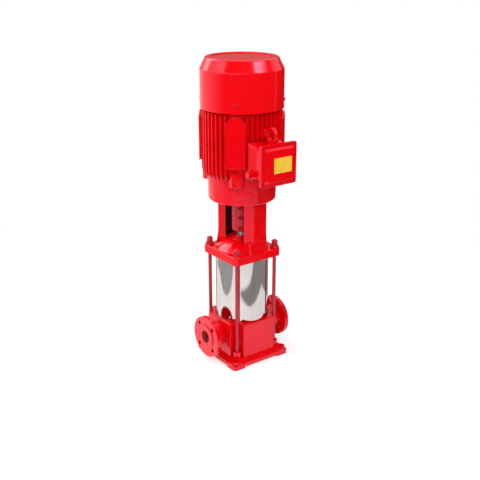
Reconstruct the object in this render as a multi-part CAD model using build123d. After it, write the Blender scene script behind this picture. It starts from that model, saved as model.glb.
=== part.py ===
from build123d import *
import os
from math import atan2, cos, degrees, radians, sin, sqrt

# Vertical multistage in-line pump with a flanged motor on top.
# Millimetres, +Z up. The origin is on the floor under the shaft axis.
# -X is the suction side, +X the discharge side, -Y the terminal box side.

# Fits and gaps
FIT = 0.05              # radial gap of a seated or screwed fit
RUN = 0.05              # radial gap of a running fit
AIR = 0.5               # radial gap of a neck ring or an air gap
SEAT_GAP = 0.2          # gap between stacked rings along the shaft

# Pipe flanges, nominal size 50, pressure class 16
PIPE_HEIGHT = 112.0
FACE_TO_FACE = 360.0
FLANGE_D = 165.0
FLANGE_T = 20.0
FLANGE_PCD = 125.0
FLANGE_HOLE_D = 18.0
FLANGE_HOLES = 4
RAISED_D = 99.0
RAISED_H = 3.0
PORT_D = 50.0
NECK_D = 92.0
FLANGE_BOSS_D = 34.0
FLANGE_BOSS_H = 7.0

# Base casting
FOOT_REACH = 133.0      # from the axis to the outside of a corner foot
FOOT_R = 29.0
FOOT_TOP = 25.0
FOOT_HOLE_D = 14.0
FOOT_HOLE_PITCH = 228.0
FOOT_BOSS_R = 14.0
FOOT_BOSS_TOP = 32.0
PLATE_HALF = 130.0
PLATE_BOTTOM = 5.0
PLATE_TOP = 20.0
SKIRT_TOP = 36.0
BLOCK_HALF = 112.0
BLOCK_TOP = 173.5
NOTCH = 37.5
NOTCH_R = 17.0
LUG_TOP = 58.0
LUG_R = 16.0
CORE_FLOOR = 62.0
CORE_R = 60.0
CORE_WALL = 12.0
GALLERY_R = 96.0
PASSAGE_WALL = 9.0

# Stainless sleeve and its rings
SLEEVE_R = 104.4
SLEEVE_T = 3.0
SLEEVE_SEAT = 8.0       # depth of the sleeve in each casting
SEAL_D = 4.8            # section of the ring under each end of the sleeve

# Tie rods
ROD_D = 14.5
ROD_SIDE = 181.0        # side of the square on which the four rods stand
ROD_BURIED = 30.0
NUT_AF = 22.0
NUT_H = 19.0
NUT_DOME_H = 5.0
NUT_EDGE = 1.2
ROD_SHORT = 2.0         # from the rod's end up to the nut's dome
WASHER_D = 28.0
WASHER_T = 2.5

# Pump head and motor stool, one casting
HEAD_HALF = 109.0
HEAD_CHAMFER = 10.0
HEAD_BOTTOM = 426.0
HEAD_TOP = 457.0
HEAD_ROOF = 446.0
STUD_BOSS_R = 17.0
STUD_BOSS_H = 7.0
DECK_R = 102.0
DECK_RISE_R = 46.0
DECK_TOP = 488.0
SEAL_BORE_R = 31.0
COLUMN_OUT_R = 100.0
COLUMN_IN_R = 68.0
COLUMN_ANGLE = 64.0
COLUMN_FLARE = 10.0
COLUMN_FLARE_H = 80.0
FOOT_BLOCK_HALF = 42.0
FOOT_BLOCK_Y = 105.0
FOOT_BLOCK_TOP = 502.0
STOOL_FLANGE_R = 128.0
STOOL_FLANGE_BOTTOM = 656.0
STOOL_FLANGE_TOP = 674.0
STOOL_FLANGE_ROUND = 7.0
SPIGOT_R = 90.0
SPIGOT_H = 4.0
FLANGE_BOLT_R = 107.5
FLANGE_BOLT_D = 12.0

# Shaft seal
GLAND_R = 31.0
GLAND_FLANGE_R = 40.0
GLAND_BASE_T = 6.0
GLAND_TOP = 503.0
GLAND_SCREW_R = 35.5
SEAL_SEAT_R = 22.0
SEAL_COLLAR_R = 19.0
SEAL_COLLAR_H = 14.0

# Hydraulics
SHAFT_R = 11.0
STAGES = 4
STAGE_H = 57.5
INLET_H = 16.0
CHAMBER_R = 88.0
CHAMBER_WALL = 3.0
CHAMBER_FLOOR = 3.0
EYE_R = 32.0
EYE_SKIRT = 4.0
IMPELLER_R = 68.0
IMPELLER_BASE = 9.0
SHROUD_T = 2.0
CHANNEL_H = 15.0
BLADE_T = 3.0
BLADES = 6
HUB_R = 15.5
BUSH_R = 16.0
GUIDE_R = 75.0
GUIDE_Z = 34.0
GUIDE_T = 2.5
GUIDE_VANES = 7

# Coupling
COUPLING_R = 39.0
COUPLING_BOTTOM = 524.0
COUPLING_TOP = 641.0
COUPLING_SPLIT = 2.5
COUPLING_EDGE = 4.0
COUPLING_BOLT_D = 8.0
COUPLING_BOLT_X = 29.0
COUPLING_BOLT_INSET = 17.0
COUPLING_HEAD_Y = 17.0
COUPLING_TURN = -90      # the split stands across the suction side

# Motor
BARREL_R = 134.0        # outside of the frame between its fins
FRAME_WALL = 11.0
FIN_H = 17.5
PAD_H = 21.0
LUG_H = 14.0
BARREL_BORE_R = BARREL_R - FRAME_WALL
FIN_R = BARREL_R + FIN_H
PAD_FACE = BARREL_R + PAD_H
LUG_FACE = BARREL_R + LUG_H
MOTOR_SHAFT_R = 21.0
MOTOR_SHAFT_END = 590.0
SHAFT_END_GAP = 6.0
BEARING_IN_R = 22.5
BEARING_OUT_R = 50.0
BEARING_B = 25.0
RACE_T = 5.6
BALLS = 8
FRONT_BEARING_Z = 698.0
REAR_BEARING_Z = 1012.0
SHIELD_R = BARREL_R - 5.0
SHIELD_WALL = 9.0
SHIELD_TOP = 740.0
SHIELD_FACE_T = 14.0
EAR_T = 10.0
REGISTER_H = 5.0
FRAME_TOP = 1003.0
FIN_T = 4.2
FIN_PITCH = 7.5
FIN_BOTTOM = 757.0
FIN_TOP = 998.0
FIN_TAPER_H = 26.0
PAD_W = 73.0
PAD_BOTTOM = 804.0
PAD_TOP = 991.0
PAD_CHAMFER_W = 20.0
PAD_CHAMFER_H = 22.0
LUG_W = 56.0
LUG_EDGE = 13.0
FRAME_LUG_TOP = 783.0
LUG_BOLT_R = BARREL_R + 5.5
LUG_BOLT_D = 10.0
CORE_BOTTOM = 792.0
CORE_TOP = 962.0
STATOR_IN_R = 80.0
WINDING_H = 27.0
ROTOR_SHAFT_R = 27.5
END_RING_H = 12.0
REAR_SHIELD_R = BARREL_R - 1.0
REAR_SHIELD_T = 12.0
REAR_SHIELD_TOP = 1042.0

# Fan and cowl
COWL_R = PAD_FACE + 0.2
COWL_T = 2.0
COWL_BOTTOM = 1003.0
COWL_SKIRT_H = 140.0
COWL_CONE_H = 43.0
COWL_SHOULDER = COWL_BOTTOM + COWL_SKIRT_H
COWL_TOP = COWL_SHOULDER + COWL_CONE_H
COWL_TOP_R = COWL_R - 21.2
COWL_ROUND = 9.0
COWL_SCREW_Z = 1035.0
COWL_EAR_W = 26.0
GRILLE_R = COWL_TOP_R - 24.0
GRILLE_T = 1.6
GRILLE_DROP = 3.0
GRILLE_LAP = 5.0
GRILLE_HOLE = 6.0
GRILLE_PITCH = 17.0
FAN_R = 122.0
FAN_Z = 1060.0
FAN_H = 42.0
FAN_BLADES = 8
FAN_SEAT_R = 19.0

# Terminal box
BOX_CENTRE_Z = 828.0
PEDESTAL_Y = BARREL_R + 0.5
NECK_FOOT_X = 76.0      # half width of the flared neck on the frame
NECK_FOOT_Z = 67.0
NECK_FOOT_RISE = 7.0    # how far the neck's foot stands above the box's centre
NECK_END_X = 65.0
NECK_END_Z = 57.0
NECK_END_RISE = 1.0
NECK_CORNER_R = 10.0
NECK_CLEAR = 3.0        # room between the neck and the fins above and below it
NECK_OPEN_X = 38.0      # half width of the passage for the wires
NECK_OPEN_Z = 34.0
BOX_BACK_Y = 172.0
BOX_HALF_X = 66.0
BOX_HALF_Z = 58.0
BOX_WALL = 4.0
RIM_HALF_X = 79.0
RIM_HALF_Z = 75.5
RIM_Y = 206.0
LID_Y = 213.0
LID_EDGE_Y = 221.0
LID_FACE_Y = 230.0
LID_PLATEAU_X = 58.0
LID_PLATEAU_Z = 56.0
LID_T = 3.0
LID_CORNER_R = 8.0
LID_SCREW_INSET = 7.5
LID_SCREW_D = 5.0
LABEL_W = 80.0
LABEL_H = 56.0
LABEL_T = 0.6
LABEL_X = 11.0
GASKET_T = 1.5
ENTRY_Y = 153.2
ENTRY_DROP = 40.0
ENTRY_R = 17.0
ENTRY_X = 82.0
BOARD_HALF_X = 42.0
BOARD_HALF_Z = 24.0
BOARD_T = 14.0
STUD_D = 6.0

# Lifting eye
EYE_X = -4.0
EYE_Z = 928.0
EYE_BOSS_R = 19.0
EYE_BOSS_Y = 152.0
EYE_SHOULDER_R = 15.0
EYE_RING_R = 24.0
EYE_WIRE_R = 7.0
EYE_THREAD_D = 12.0
EYE_THREAD_L = 14.0

# Plugs
PLUG_D = 20.0
PLUG_AF = 24.0
PLUG_HEAD_H = 9.0
PLUG_THREAD_L = 12.0
VENT_X = 76.0
VENT_BOSS_R = 16.0
VENT_BOSS_TOP = 487.0
DRAIN_X = 40.0
DRAIN_Z = 84.0

DIAGONALS = (45, 135, 225, 315)


# Plain shapes

def rod_z(r, z0, z1):
    return Pos(0, 0, z0) * Cylinder(r, z1 - z0, align=(Align.CENTER, Align.CENTER, Align.MIN))


def tube_z(r_out, r_in, z0, z1):
    return rod_z(r_out, z0, z1) - rod_z(r_in, z0 - 1, z1 + 1)


def block(x0, x1, y0, y1, z0, z1):
    return Pos(x0, y0, z0) * Box(x1 - x0, y1 - y0, z1 - z0, align=(Align.MIN, Align.MIN, Align.MIN))


def rod_x(r, x0, x1, y, z):
    return Pos(x0, y, z) * Rot(0, 90, 0) * Cylinder(r, x1 - x0, align=(Align.CENTER, Align.CENTER, Align.MIN))


def rod_y(r, y0, y1, x, z):
    return Pos(x, y0, z) * Rot(-90, 0, 0) * Cylinder(r, y1 - y0, align=(Align.CENTER, Align.CENTER, Align.MIN))


def hexagon_z(across_flats, z0, z1):
    flat = RegularPolygon(across_flats / 2, 6, major_radius=False)
    return Pos(0, 0, z0) * extrude(flat, z1 - z0)


def turned(points):
    """Revolve a closed outline of (radius, height) points about the shaft axis."""
    outline = Plane.XZ * make_face(Polyline(*points, close=True))
    return revolve(outline, Axis.Z)


def around(shape, angles):
    return [Rot(0, 0, a) * shape for a in angles]


def write(name, shapes):
    os.makedirs("parts", exist_ok=True)
    solids = []
    for shape in shapes if isinstance(shapes, (list, tuple)) else [shapes]:
        solids.extend(shape.solids())
    whole = solids[0] if len(solids) == 1 else Compound(children=solids)
    whole.label = name
    export_step(whole, f"parts/{name}.step")


def rod_corners():
    half = ROD_SIDE / 2
    return [(x, y) for x in (-half, half) for y in (-half, half)]


# Base casting

def pipe_flange():
    """The suction flange with its neck, from the raised face in to the block."""
    face = -FACE_TO_FACE / 2
    back = face + FLANGE_T
    body = rod_x(FLANGE_D / 2, face + RAISED_H, back, 0, PIPE_HEIGHT)
    body += rod_x(RAISED_D / 2, face, back, 0, PIPE_HEIGHT)
    cone = Solid.make_cone(NECK_D / 2 + 6, NECK_D / 2, -BLOCK_HALF - back + 10,
                           Plane(origin=(back, 0, PIPE_HEIGHT), x_dir=(0, 1, 0), z_dir=(1, 0, 0)))
    body += cone
    for y, z in flange_hole_places():
        body += rod_x(FLANGE_BOSS_D / 2, back - 1, back + FLANGE_BOSS_H, y, z)
    for y, z in flange_hole_places():
        body -= rod_x(FLANGE_HOLE_D / 2, face - 1, back + FLANGE_BOSS_H + 1, y, z)
    return body


def flange_hole_places():
    step = 360 / FLANGE_HOLES
    r = FLANGE_PCD / 2
    angles = [step / 2 + i * step for i in range(FLANGE_HOLES)]
    return [(r * cos(radians(a)), PIPE_HEIGHT + r * sin(radians(a))) for a in angles]


def notch_cut():
    """One corner recess of the block, open to the corner, with a round inner edge."""
    inner = BLOCK_HALF - NOTCH
    side = 2 * NOTCH
    cut = block(inner, inner + side, inner, inner + side, SKIRT_TOP - 1, BLOCK_TOP + 1)
    return fillet(cut.edges().filter_by(Axis.Z).sort_by_distance((0, 0, BLOCK_TOP))[0], NOTCH_R)


def base_outside():
    half = BLOCK_HALF
    body = block(-half, half, -half, half, SKIRT_TOP - 2, BLOCK_TOP)
    body = chamfer(body.faces().sort_by(Axis.Z)[-1].edges(), 3)
    notch = notch_cut()
    for angle in (0, 90, 180, 270):
        body -= Rot(0, 0, angle) * notch
    lower = Pos(0, 0, PLATE_TOP) * Rectangle(2 * PLATE_HALF - 8, 2 * PLATE_HALF - 8)
    upper = Pos(0, 0, SKIRT_TOP) * Rectangle(2 * BLOCK_HALF, 2 * BLOCK_HALF)
    body += loft([lower, upper])
    plate = extrude(RectangleRounded(2 * PLATE_HALF, 2 * PLATE_HALF, FOOT_R), PLATE_TOP - PLATE_BOTTOM)
    body += Pos(0, 0, PLATE_BOTTOM) * plate
    centre = FOOT_REACH - FOOT_R
    for x in (-centre, centre):
        for y in (-centre, centre):
            body += Pos(x, y, 0) * rod_z(FOOT_R, 0, FOOT_TOP)
            toe = RectangleRounded(2 * FOOT_R, 2 * FOOT_R, FOOT_R * 0.45)
            body += Pos(x, y, 0) * extrude(toe, PLATE_TOP - 2)
    for x, y in foot_hole_places():
        body += Pos(x, y, 0) * rod_z(FOOT_BOSS_R, PLATE_TOP, FOOT_BOSS_TOP)
    for x, y in rod_corners():
        body += Pos(x, y, 0) * rod_z(LUG_R, PLATE_TOP, LUG_TOP)
    return body


def foot_hole_places():
    half = FOOT_HOLE_PITCH / 2
    return [(x, y) for x in (-half, half) for y in (-half, half)]


def underside():
    """The hollow under the plate, deeper in the middle than below the corner recesses."""
    wide = BLOCK_HALF - 18
    deep = BLOCK_HALF - NOTCH - 10
    low = block(-wide, wide, -wide, wide, -1, SKIRT_TOP - 14)
    high = block(-deep, deep, -deep, deep, -1, CORE_FLOOR - 14)
    return fillet(low.edges().filter_by(Axis.Z), 34) + fillet(high.edges().filter_by(Axis.Z), 20)


def pump_base():
    body = base_outside()
    for angle in (0, 180):
        body += Rot(0, 0, angle) * pipe_flange()
    body -= rod_z(SLEEVE_R + FIT, BLOCK_TOP - SLEEVE_SEAT - SEAL_D, BLOCK_TOP + 1)
    gallery = tube_z(GALLERY_R, CORE_R + CORE_WALL, CORE_FLOOR, BLOCK_TOP)
    inlet_wall = rod_x(PORT_D / 2 + PASSAGE_WALL, -GALLERY_R - 2, -CORE_R - 1, 0, PIPE_HEIGHT)
    body -= gallery - inlet_wall
    body -= rod_z(CORE_R, CORE_FLOOR, BLOCK_TOP)
    body -= rod_x(PORT_D / 2, -FACE_TO_FACE / 2 - 1, -CORE_R + 12, 0, PIPE_HEIGHT)
    body -= rod_x(PORT_D / 2, CORE_R + CORE_WALL + 6, FACE_TO_FACE / 2 + 1, 0, PIPE_HEIGHT)
    for x, y in rod_corners():
        body -= Pos(x, y, 0) * rod_z(ROD_D / 2 + FIT, LUG_TOP - ROD_BURIED, LUG_TOP + 1)
    for x, y in foot_hole_places():
        body -= Pos(x, y, 0) * rod_z(FOOT_HOLE_D / 2, -1, FOOT_BOSS_TOP + 1)
    body -= underside()
    body -= rod_y(PLUG_D / 2 + FIT, BLOCK_HALF - PLUG_THREAD_L - 12, BLOCK_HALF + 1, DRAIN_X, DRAIN_Z)
    return body


def hex_plug():
    """A screwed plug along +Z with its head from z = 0 up and its stem below."""
    head = hexagon_z(PLUG_AF, 0, PLUG_HEAD_H)
    head = chamfer(head.faces().sort_by(Axis.Z)[-1].edges(), 1.2)
    return head + rod_z(PLUG_D / 2, -PLUG_THREAD_L, 1)


# Sleeve, rings and tie rods

def sleeve_bottom():
    return BLOCK_TOP - SLEEVE_SEAT


def sleeve_top():
    return HEAD_BOTTOM + SLEEVE_SEAT


def outer_sleeve():
    return tube_z(SLEEVE_R, SLEEVE_R - SLEEVE_T, sleeve_bottom(), sleeve_top())


def sleeve_seal(z0):
    return tube_z(SLEEVE_R - 2 * FIT, SLEEVE_R - SEAL_D, z0, z0 + SEAL_D)


def tie_rod_top():
    return HEAD_TOP + STUD_BOSS_H + WASHER_T + NUT_H - ROD_SHORT


def tie_rod(x, y):
    z0 = LUG_TOP - ROD_BURIED + 1
    rod = rod_z(ROD_D / 2, z0, tie_rod_top())
    rod = chamfer(rod.edges().filter_by(GeomType.CIRCLE), 1.2)
    return Pos(x, y, 0) * rod


def cap_nut(x, y):
    z0 = HEAD_TOP + STUD_BOSS_H + WASHER_T
    nut = hexagon_z(NUT_AF, z0, z0 + NUT_H)
    nut = chamfer(nut.faces().sort_by(Axis.Z)[-1].edges(), NUT_EDGE)
    dome_r = NUT_AF / 2 - NUT_EDGE - 0.3
    ball_r = (dome_r ** 2 + NUT_DOME_H ** 2) / (2 * NUT_DOME_H)
    dome = Pos(0, 0, z0 + NUT_H + NUT_DOME_H - ball_r) * Sphere(ball_r)
    nut += dome & rod_z(dome_r, z0 + NUT_H - 0.5, z0 + NUT_H + NUT_DOME_H + 1)
    nut -= rod_z(ROD_D / 2 + FIT, z0 - 1, tie_rod_top() + 0.3)
    return Pos(x, y, 0) * nut


def rod_washer(x, y):
    z0 = HEAD_TOP + STUD_BOSS_H
    return Pos(x, y, 0) * tube_z(WASHER_D / 2, ROD_D / 2 + 0.4, z0, z0 + WASHER_T)


# Pump head with the motor stool

def head_plate():
    side = 2 * HEAD_HALF
    plate = Pos(0, 0, HEAD_BOTTOM) * extrude(Rectangle(side, side), HEAD_TOP - HEAD_BOTTOM)
    plate = chamfer(plate.edges().filter_by(Axis.Z), HEAD_CHAMFER)
    return fillet(plate.faces().sort_by(Axis.Z)[-1].edges(), 3)


def deck():
    """The domed deck that rises from the plate to the seal boss."""
    mid_r = (DECK_R + DECK_RISE_R) / 2
    mid_z = HEAD_TOP + 0.62 * (DECK_TOP - HEAD_TOP)
    slope = ThreePointArc((DECK_R, HEAD_TOP), (mid_r, mid_z), (DECK_RISE_R, DECK_TOP))
    rest = Polyline((DECK_RISE_R, DECK_TOP), (0, DECK_TOP), (0, HEAD_TOP - 5),
                    (DECK_R, HEAD_TOP - 5), (DECK_R, HEAD_TOP))
    return revolve(Plane.XZ * make_face(slope + rest), Axis.Z)


def column():
    """One column of the stool on the +Y side, flared where it meets the deck."""
    out_r = COLUMN_OUT_R
    low = HEAD_TOP - 2
    flare_top = low + COLUMN_FLARE_H
    flare = ThreePointArc((out_r + COLUMN_FLARE, low),
                          (out_r + 0.22 * COLUMN_FLARE, low + 0.5 * COLUMN_FLARE_H),
                          (out_r, flare_top))
    rest = Polyline((out_r, flare_top), (out_r, STOOL_FLANGE_BOTTOM + 3), (COLUMN_IN_R, STOOL_FLANGE_BOTTOM + 3),
                    (COLUMN_IN_R, low), (out_r + COLUMN_FLARE, low))
    outline = Plane.XZ * make_face(flare + rest)
    sector = revolve(outline, Axis.Z, revolution_arc=COLUMN_ANGLE)
    return Rot(0, 0, 90 - COLUMN_ANGLE / 2) * sector


def stool_flange():
    r = STOOL_FLANGE_R
    disc = rod_z(r, STOOL_FLANGE_BOTTOM, STOOL_FLANGE_TOP)
    lower = disc.edges().filter_by(GeomType.CIRCLE).sort_by(Axis.Z)[0]
    disc = fillet(lower, STOOL_FLANGE_ROUND)
    disc -= rod_z(COLUMN_IN_R, STOOL_FLANGE_BOTTOM - 1, STOOL_FLANGE_TOP + 1)
    return disc - rod_z(SPIGOT_R + FIT, STOOL_FLANGE_TOP - SPIGOT_H - 0.5, STOOL_FLANGE_TOP + 1)


def motor_stool():
    body = head_plate() + deck()
    for angle in (0, 180):
        body += Rot(0, 0, angle) * column()
    body += stool_flange()
    foot = block(-FOOT_BLOCK_HALF, FOOT_BLOCK_HALF, COLUMN_IN_R + 10, FOOT_BLOCK_Y, HEAD_TOP - 1, FOOT_BLOCK_TOP)
    foot = fillet(foot.edges().filter_by(Axis.Z), 6)
    foot = chamfer(foot.faces().sort_by(Axis.Z)[-1].edges(), 2.5)
    for angle in (0, 180):
        body += Rot(0, 0, angle) * foot
    for x, y in rod_corners():
        body += Pos(x, y, 0) * rod_z(STUD_BOSS_R, HEAD_TOP - 1, HEAD_TOP + STUD_BOSS_H)
    for x, y in rod_corners():
        body -= Pos(x, y, 0) * rod_z(ROD_D / 2 + 0.5, HEAD_BOTTOM - 1, HEAD_TOP + STUD_BOSS_H + 1)
    body += Pos(VENT_X, 0, 0) * rod_z(VENT_BOSS_R, HEAD_TOP - 2, VENT_BOSS_TOP)
    body -= rod_z(SLEEVE_R + FIT, HEAD_BOTTOM - 1, sleeve_top() + SEAL_D)
    body -= rod_z(GALLERY_R, HEAD_BOTTOM - 1, HEAD_ROOF)
    body -= rod_z(SEAL_BORE_R + FIT, HEAD_BOTTOM, DECK_TOP + 1)
    for place in around(Pos(GLAND_SCREW_R, 0, 0) * rod_z(2.5 + FIT, DECK_TOP - 14, DECK_TOP + 1), DIAGONALS):
        body -= place
    for place in around(Pos(FLANGE_BOLT_R, 0, 0) * rod_z(FLANGE_BOLT_D / 2 + 0.5, STOOL_FLANGE_BOTTOM - 1,
                                                       STOOL_FLANGE_TOP + 1), DIAGONALS):
        body -= place
    return body - Pos(VENT_X, 0, 0) * rod_z(PLUG_D / 2 + FIT, HEAD_ROOF - 1, VENT_BOSS_TOP + 1)

# Shaft seal

def seal_gland():
    flange = rod_z(GLAND_FLANGE_R, DECK_TOP, DECK_TOP + GLAND_BASE_T)
    body = flange + rod_z(SEAL_BORE_R, DECK_TOP - 10, DECK_TOP + 1)
    body += rod_z(GLAND_R - 5, DECK_TOP, GLAND_TOP)
    body = fillet(body.edges().filter_by(GeomType.CIRCLE).sort_by(Axis.Z)[-1], 2)
    body -= rod_z(SHAFT_R + 2, DECK_TOP - 11, GLAND_TOP + 1)
    body -= rod_z(SEAL_SEAT_R + FIT, DECK_TOP - 11, DECK_TOP - 4)
    for hole in around(Pos(GLAND_SCREW_R, 0, 0) * rod_z(2.5 + FIT, DECK_TOP - 1, DECK_TOP + 10), DIAGONALS):
        body -= hole
    return body


def gland_screw():
    z0 = DECK_TOP + GLAND_BASE_T
    screw = rod_z(2.5, DECK_TOP - 12, z0 + 1) + hexagon_z(8, z0, z0 + 3.5)
    return Pos(GLAND_SCREW_R, 0, 0) * screw


def seal_seat():
    """The stationary seal ring, held in the gland from below."""
    return tube_z(SEAL_SEAT_R, SHAFT_R + 2, DECK_TOP - 10 - 1, DECK_TOP - 4)


def seal_head():
    """The turning seal: face ring, bellows and drive collar on the pump shaft."""
    top = DECK_TOP - 11 - RUN
    points = [(SHAFT_R + FIT, top), (SEAL_SEAT_R - 2, top), (SEAL_SEAT_R - 2, top - 5), (SEAL_SEAT_R - 4, top - 6)]
    for i in range(3):
        z = top - 6 - 5 * i
        points += [(SEAL_SEAT_R - 5, z - 1.5), (SEAL_SEAT_R - 2, z - 3), (SEAL_SEAT_R - 5, z - 4.5)]
    end = top - 6 - 15
    points += [(SEAL_SEAT_R - 2, end - 1), (SEAL_SEAT_R - 2, end - 6), (SHAFT_R + FIT, end - 6)]
    return turned(points)


def seal_collar():
    """The drive collar clamped on the shaft above the gland."""
    z0 = GLAND_TOP + 1.5
    body = tube_z(SEAL_COLLAR_R, SHAFT_R + FIT, z0, z0 + SEAL_COLLAR_H)
    return body - rod_x(2, 0, SEAL_COLLAR_R + 1, 0, z0 + SEAL_COLLAR_H / 2)


# Hydraulics

def stack_bottom():
    return BLOCK_TOP - SLEEVE_SEAT - SEAL_D


def stage_z(i):
    return stack_bottom() + INLET_H + i * STAGE_H


def suction_guide():
    """The spoked ring under the first stage that carries the lower shaft bush."""
    z0 = stack_bottom()
    ring = tube_z(CHAMBER_R, 50, z0, z0 + INLET_H)
    hub = tube_z(20, BUSH_R + FIT, z0, z0 + INLET_H)
    for angle in (30, 150, 270):
        ring += Rot(0, 0, angle) * block(18, 52, -3, 3, z0, z0 + INLET_H - 3)
    return ring + hub


def lower_bush():
    z0 = stack_bottom()
    return tube_z(BUSH_R, SHAFT_R + RUN, z0, z0 + INLET_H)


def curved_vane(r_in, r_out, sweep, thick, height):
    """A backward-curved vane standing on z = 0, from the inner to the outer radius."""
    mid_r = (r_in + r_out) / 2
    mid = (mid_r * cos(radians(sweep * 0.35)), mid_r * sin(radians(sweep * 0.35)))
    end = (r_out * cos(radians(sweep)), r_out * sin(radians(sweep)))
    centre = ThreePointArc((r_in, 0), mid, end)
    return extrude(trace(centre, line_width=thick), height)


def stage_chamber(i):
    z0 = stage_z(i)
    wall = tube_z(CHAMBER_R, CHAMBER_R - CHAMBER_WALL, z0, z0 + STAGE_H)
    floor = tube_z(CHAMBER_R - 1, EYE_R + EYE_SKIRT + AIR, z0, z0 + CHAMBER_FLOOR)
    guide_z = z0 + GUIDE_Z
    guide = tube_z(GUIDE_R, HUB_R + AIR, guide_z, guide_z + GUIDE_T)
    vane = Pos(0, 0, guide_z + GUIDE_T - 0.5) * curved_vane(HUB_R + 14, CHAMBER_R - 2, 50, BLADE_T,
                                                        STAGE_H - GUIDE_Z - GUIDE_T + 0.5)
    body = wall + floor + guide
    for n in range(GUIDE_VANES):
        body += Rot(0, 0, n * 360 / GUIDE_VANES) * vane
    return body


def impeller(i):
    z0 = stage_z(i)
    low = z0 + IMPELLER_BASE
    high = low + SHROUD_T + CHANNEL_H
    skirt = tube_z(EYE_R + EYE_SKIRT, EYE_R, z0 + 0.5, low + 1)
    lower = tube_z(IMPELLER_R, EYE_R, low, low + SHROUD_T)
    upper = tube_z(IMPELLER_R, SHAFT_R + 2, high, high + SHROUD_T)
    top = z0 + STAGE_H + IMPELLER_BASE - SEAT_GAP
    hub = tube_z(HUB_R, SHAFT_R + FIT, low, top)
    body = skirt + lower + upper + hub
    vane = Pos(0, 0, low + SHROUD_T - 0.5) * curved_vane(EYE_R - 4, IMPELLER_R - 0.5, -55, BLADE_T, CHANNEL_H + 1)
    for n in range(BLADES):
        body += Rot(0, 0, n * 360 / BLADES) * vane
    return body


def discharge_cap():
    """The open ring that closes the last stage and meets the head's shoulder."""
    z0 = stage_z(STAGES)
    ring = tube_z(CHAMBER_R, CHAMBER_R - CHAMBER_WALL, z0, HEAD_ROOF)
    ring += tube_z(CHAMBER_R - 1, 60, z0, z0 + CHAMBER_FLOOR)
    for n in range(6):
        slot = Rot(0, 0, n * 60) * rod_x(6.5, CHAMBER_R - 8, CHAMBER_R + 4, 0, (z0 + CHAMBER_FLOOR + HEAD_ROOF) / 2)
        ring -= slot
    return ring


def pump_shaft_top():
    return MOTOR_SHAFT_END - SHAFT_END_GAP


def pump_shaft():
    z0 = stack_bottom() + 1
    shaft = rod_z(SHAFT_R, z0, pump_shaft_top())
    return chamfer(shaft.edges().filter_by(GeomType.CIRCLE), 1)


# Coupling

def coupling_bolt_heights():
    low = COUPLING_BOTTOM + COUPLING_BOLT_INSET
    high = COUPLING_TOP - COUPLING_BOLT_INSET
    return (low, (low + high) / 2, high)


def coupling_half():
    """The half of the split coupling on the -Y side, before it is turned into place."""
    body = rod_z(COUPLING_R, COUPLING_BOTTOM, COUPLING_TOP)
    body = chamfer(body.edges().filter_by(GeomType.CIRCLE), COUPLING_EDGE)
    body -= rod_z(SHAFT_R + FIT, COUPLING_BOTTOM - 1, pump_shaft_top() + 3)
    body -= rod_z(MOTOR_SHAFT_R + FIT, pump_shaft_top() + 2, COUPLING_TOP + 1)
    reach = COUPLING_R + 1
    body -= block(-reach, reach, -COUPLING_SPLIT / 2, reach, COUPLING_BOTTOM - 1, COUPLING_TOP + 1)
    for z in coupling_bolt_heights():
        for x in (-COUPLING_BOLT_X, COUPLING_BOLT_X):
            body -= rod_y(COUPLING_BOLT_D / 2 + 0.3, -reach, 0, x, z)
            body -= rod_y(COUPLING_BOLT_D * 0.95, -reach, -COUPLING_HEAD_Y, x, z)
    return body


def coupling_bolts():
    """Socket screws and nuts that clamp the halves, heads on the -Y side."""
    length = 2 * COUPLING_HEAD_Y
    screws = []
    for z in coupling_bolt_heights():
        for x in (-COUPLING_BOLT_X, COUPLING_BOLT_X):
            stem = rod_y(COUPLING_BOLT_D / 2, -COUPLING_HEAD_Y - 1, COUPLING_HEAD_Y + 1, x, z)
            head = rod_y(COUPLING_BOLT_D * 0.75, -COUPLING_HEAD_Y - COUPLING_BOLT_D, -COUPLING_HEAD_Y, x, z)
            socket = Pos(x, -COUPLING_HEAD_Y - COUPLING_BOLT_D, z) * Rot(-90, 0, 0) * hexagon_z(6, -1, 4)
            nut = Pos(x, COUPLING_HEAD_Y, z) * Rot(-90, 0, 0) * hexagon_z(COUPLING_BOLT_D * 1.6, 0, 6.5)
            screws.append(stem + head - socket + nut)
    return screws


# Motor

def motor_shaft():
    """The stepped motor shaft from the coupling end up to the fan seat."""
    front = FRONT_BEARING_Z
    rear = REAR_BEARING_Z
    fan_end = FAN_Z + FAN_H - 8
    steps = [
        (MOTOR_SHAFT_R, MOTOR_SHAFT_END, front - 2),
        (BEARING_IN_R, front - 2, front + BEARING_B),
        (ROTOR_SHAFT_R, front + BEARING_B, rear),
        (BEARING_IN_R, rear, rear + BEARING_B + 2),
        (FAN_SEAT_R, rear + BEARING_B + 2, fan_end),
    ]
    points = [(0, MOTOR_SHAFT_END)]
    for r, z0, z1 in steps:
        points += [(r, z0), (r, z1)]
    points.append((0, fan_end))
    shaft = turned(points)
    ends = shaft.edges().filter_by(GeomType.CIRCLE).sort_by(Axis.Z)
    return chamfer([ends[0], ends[-1]], 1.5)


def ball_radius():
    return (BEARING_OUT_R - BEARING_IN_R - 2 * RACE_T) / 2 - RUN


def ball_pitch_radius():
    return (BEARING_OUT_R + BEARING_IN_R) / 2


def bearing_outer(z0):
    ring = tube_z(BEARING_OUT_R, BEARING_OUT_R - RACE_T, z0, z0 + BEARING_B)
    return ring


def bearing_inner(z0):
    return tube_z(BEARING_IN_R + RACE_T, BEARING_IN_R + 0.02, z0, z0 + BEARING_B)


def ball_set(z0):
    """Balls joined by their cage ring, turning between the two races."""
    mid = z0 + BEARING_B / 2
    pitch_r = ball_pitch_radius()
    cage = tube_z(pitch_r + 2, pitch_r - 2, mid - 5, mid + 5)
    for i in range(BALLS):
        cage += Rot(0, 0, i * 360 / BALLS) * Pos(pitch_r, 0, mid) * Sphere(ball_radius())
    return cage


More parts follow.
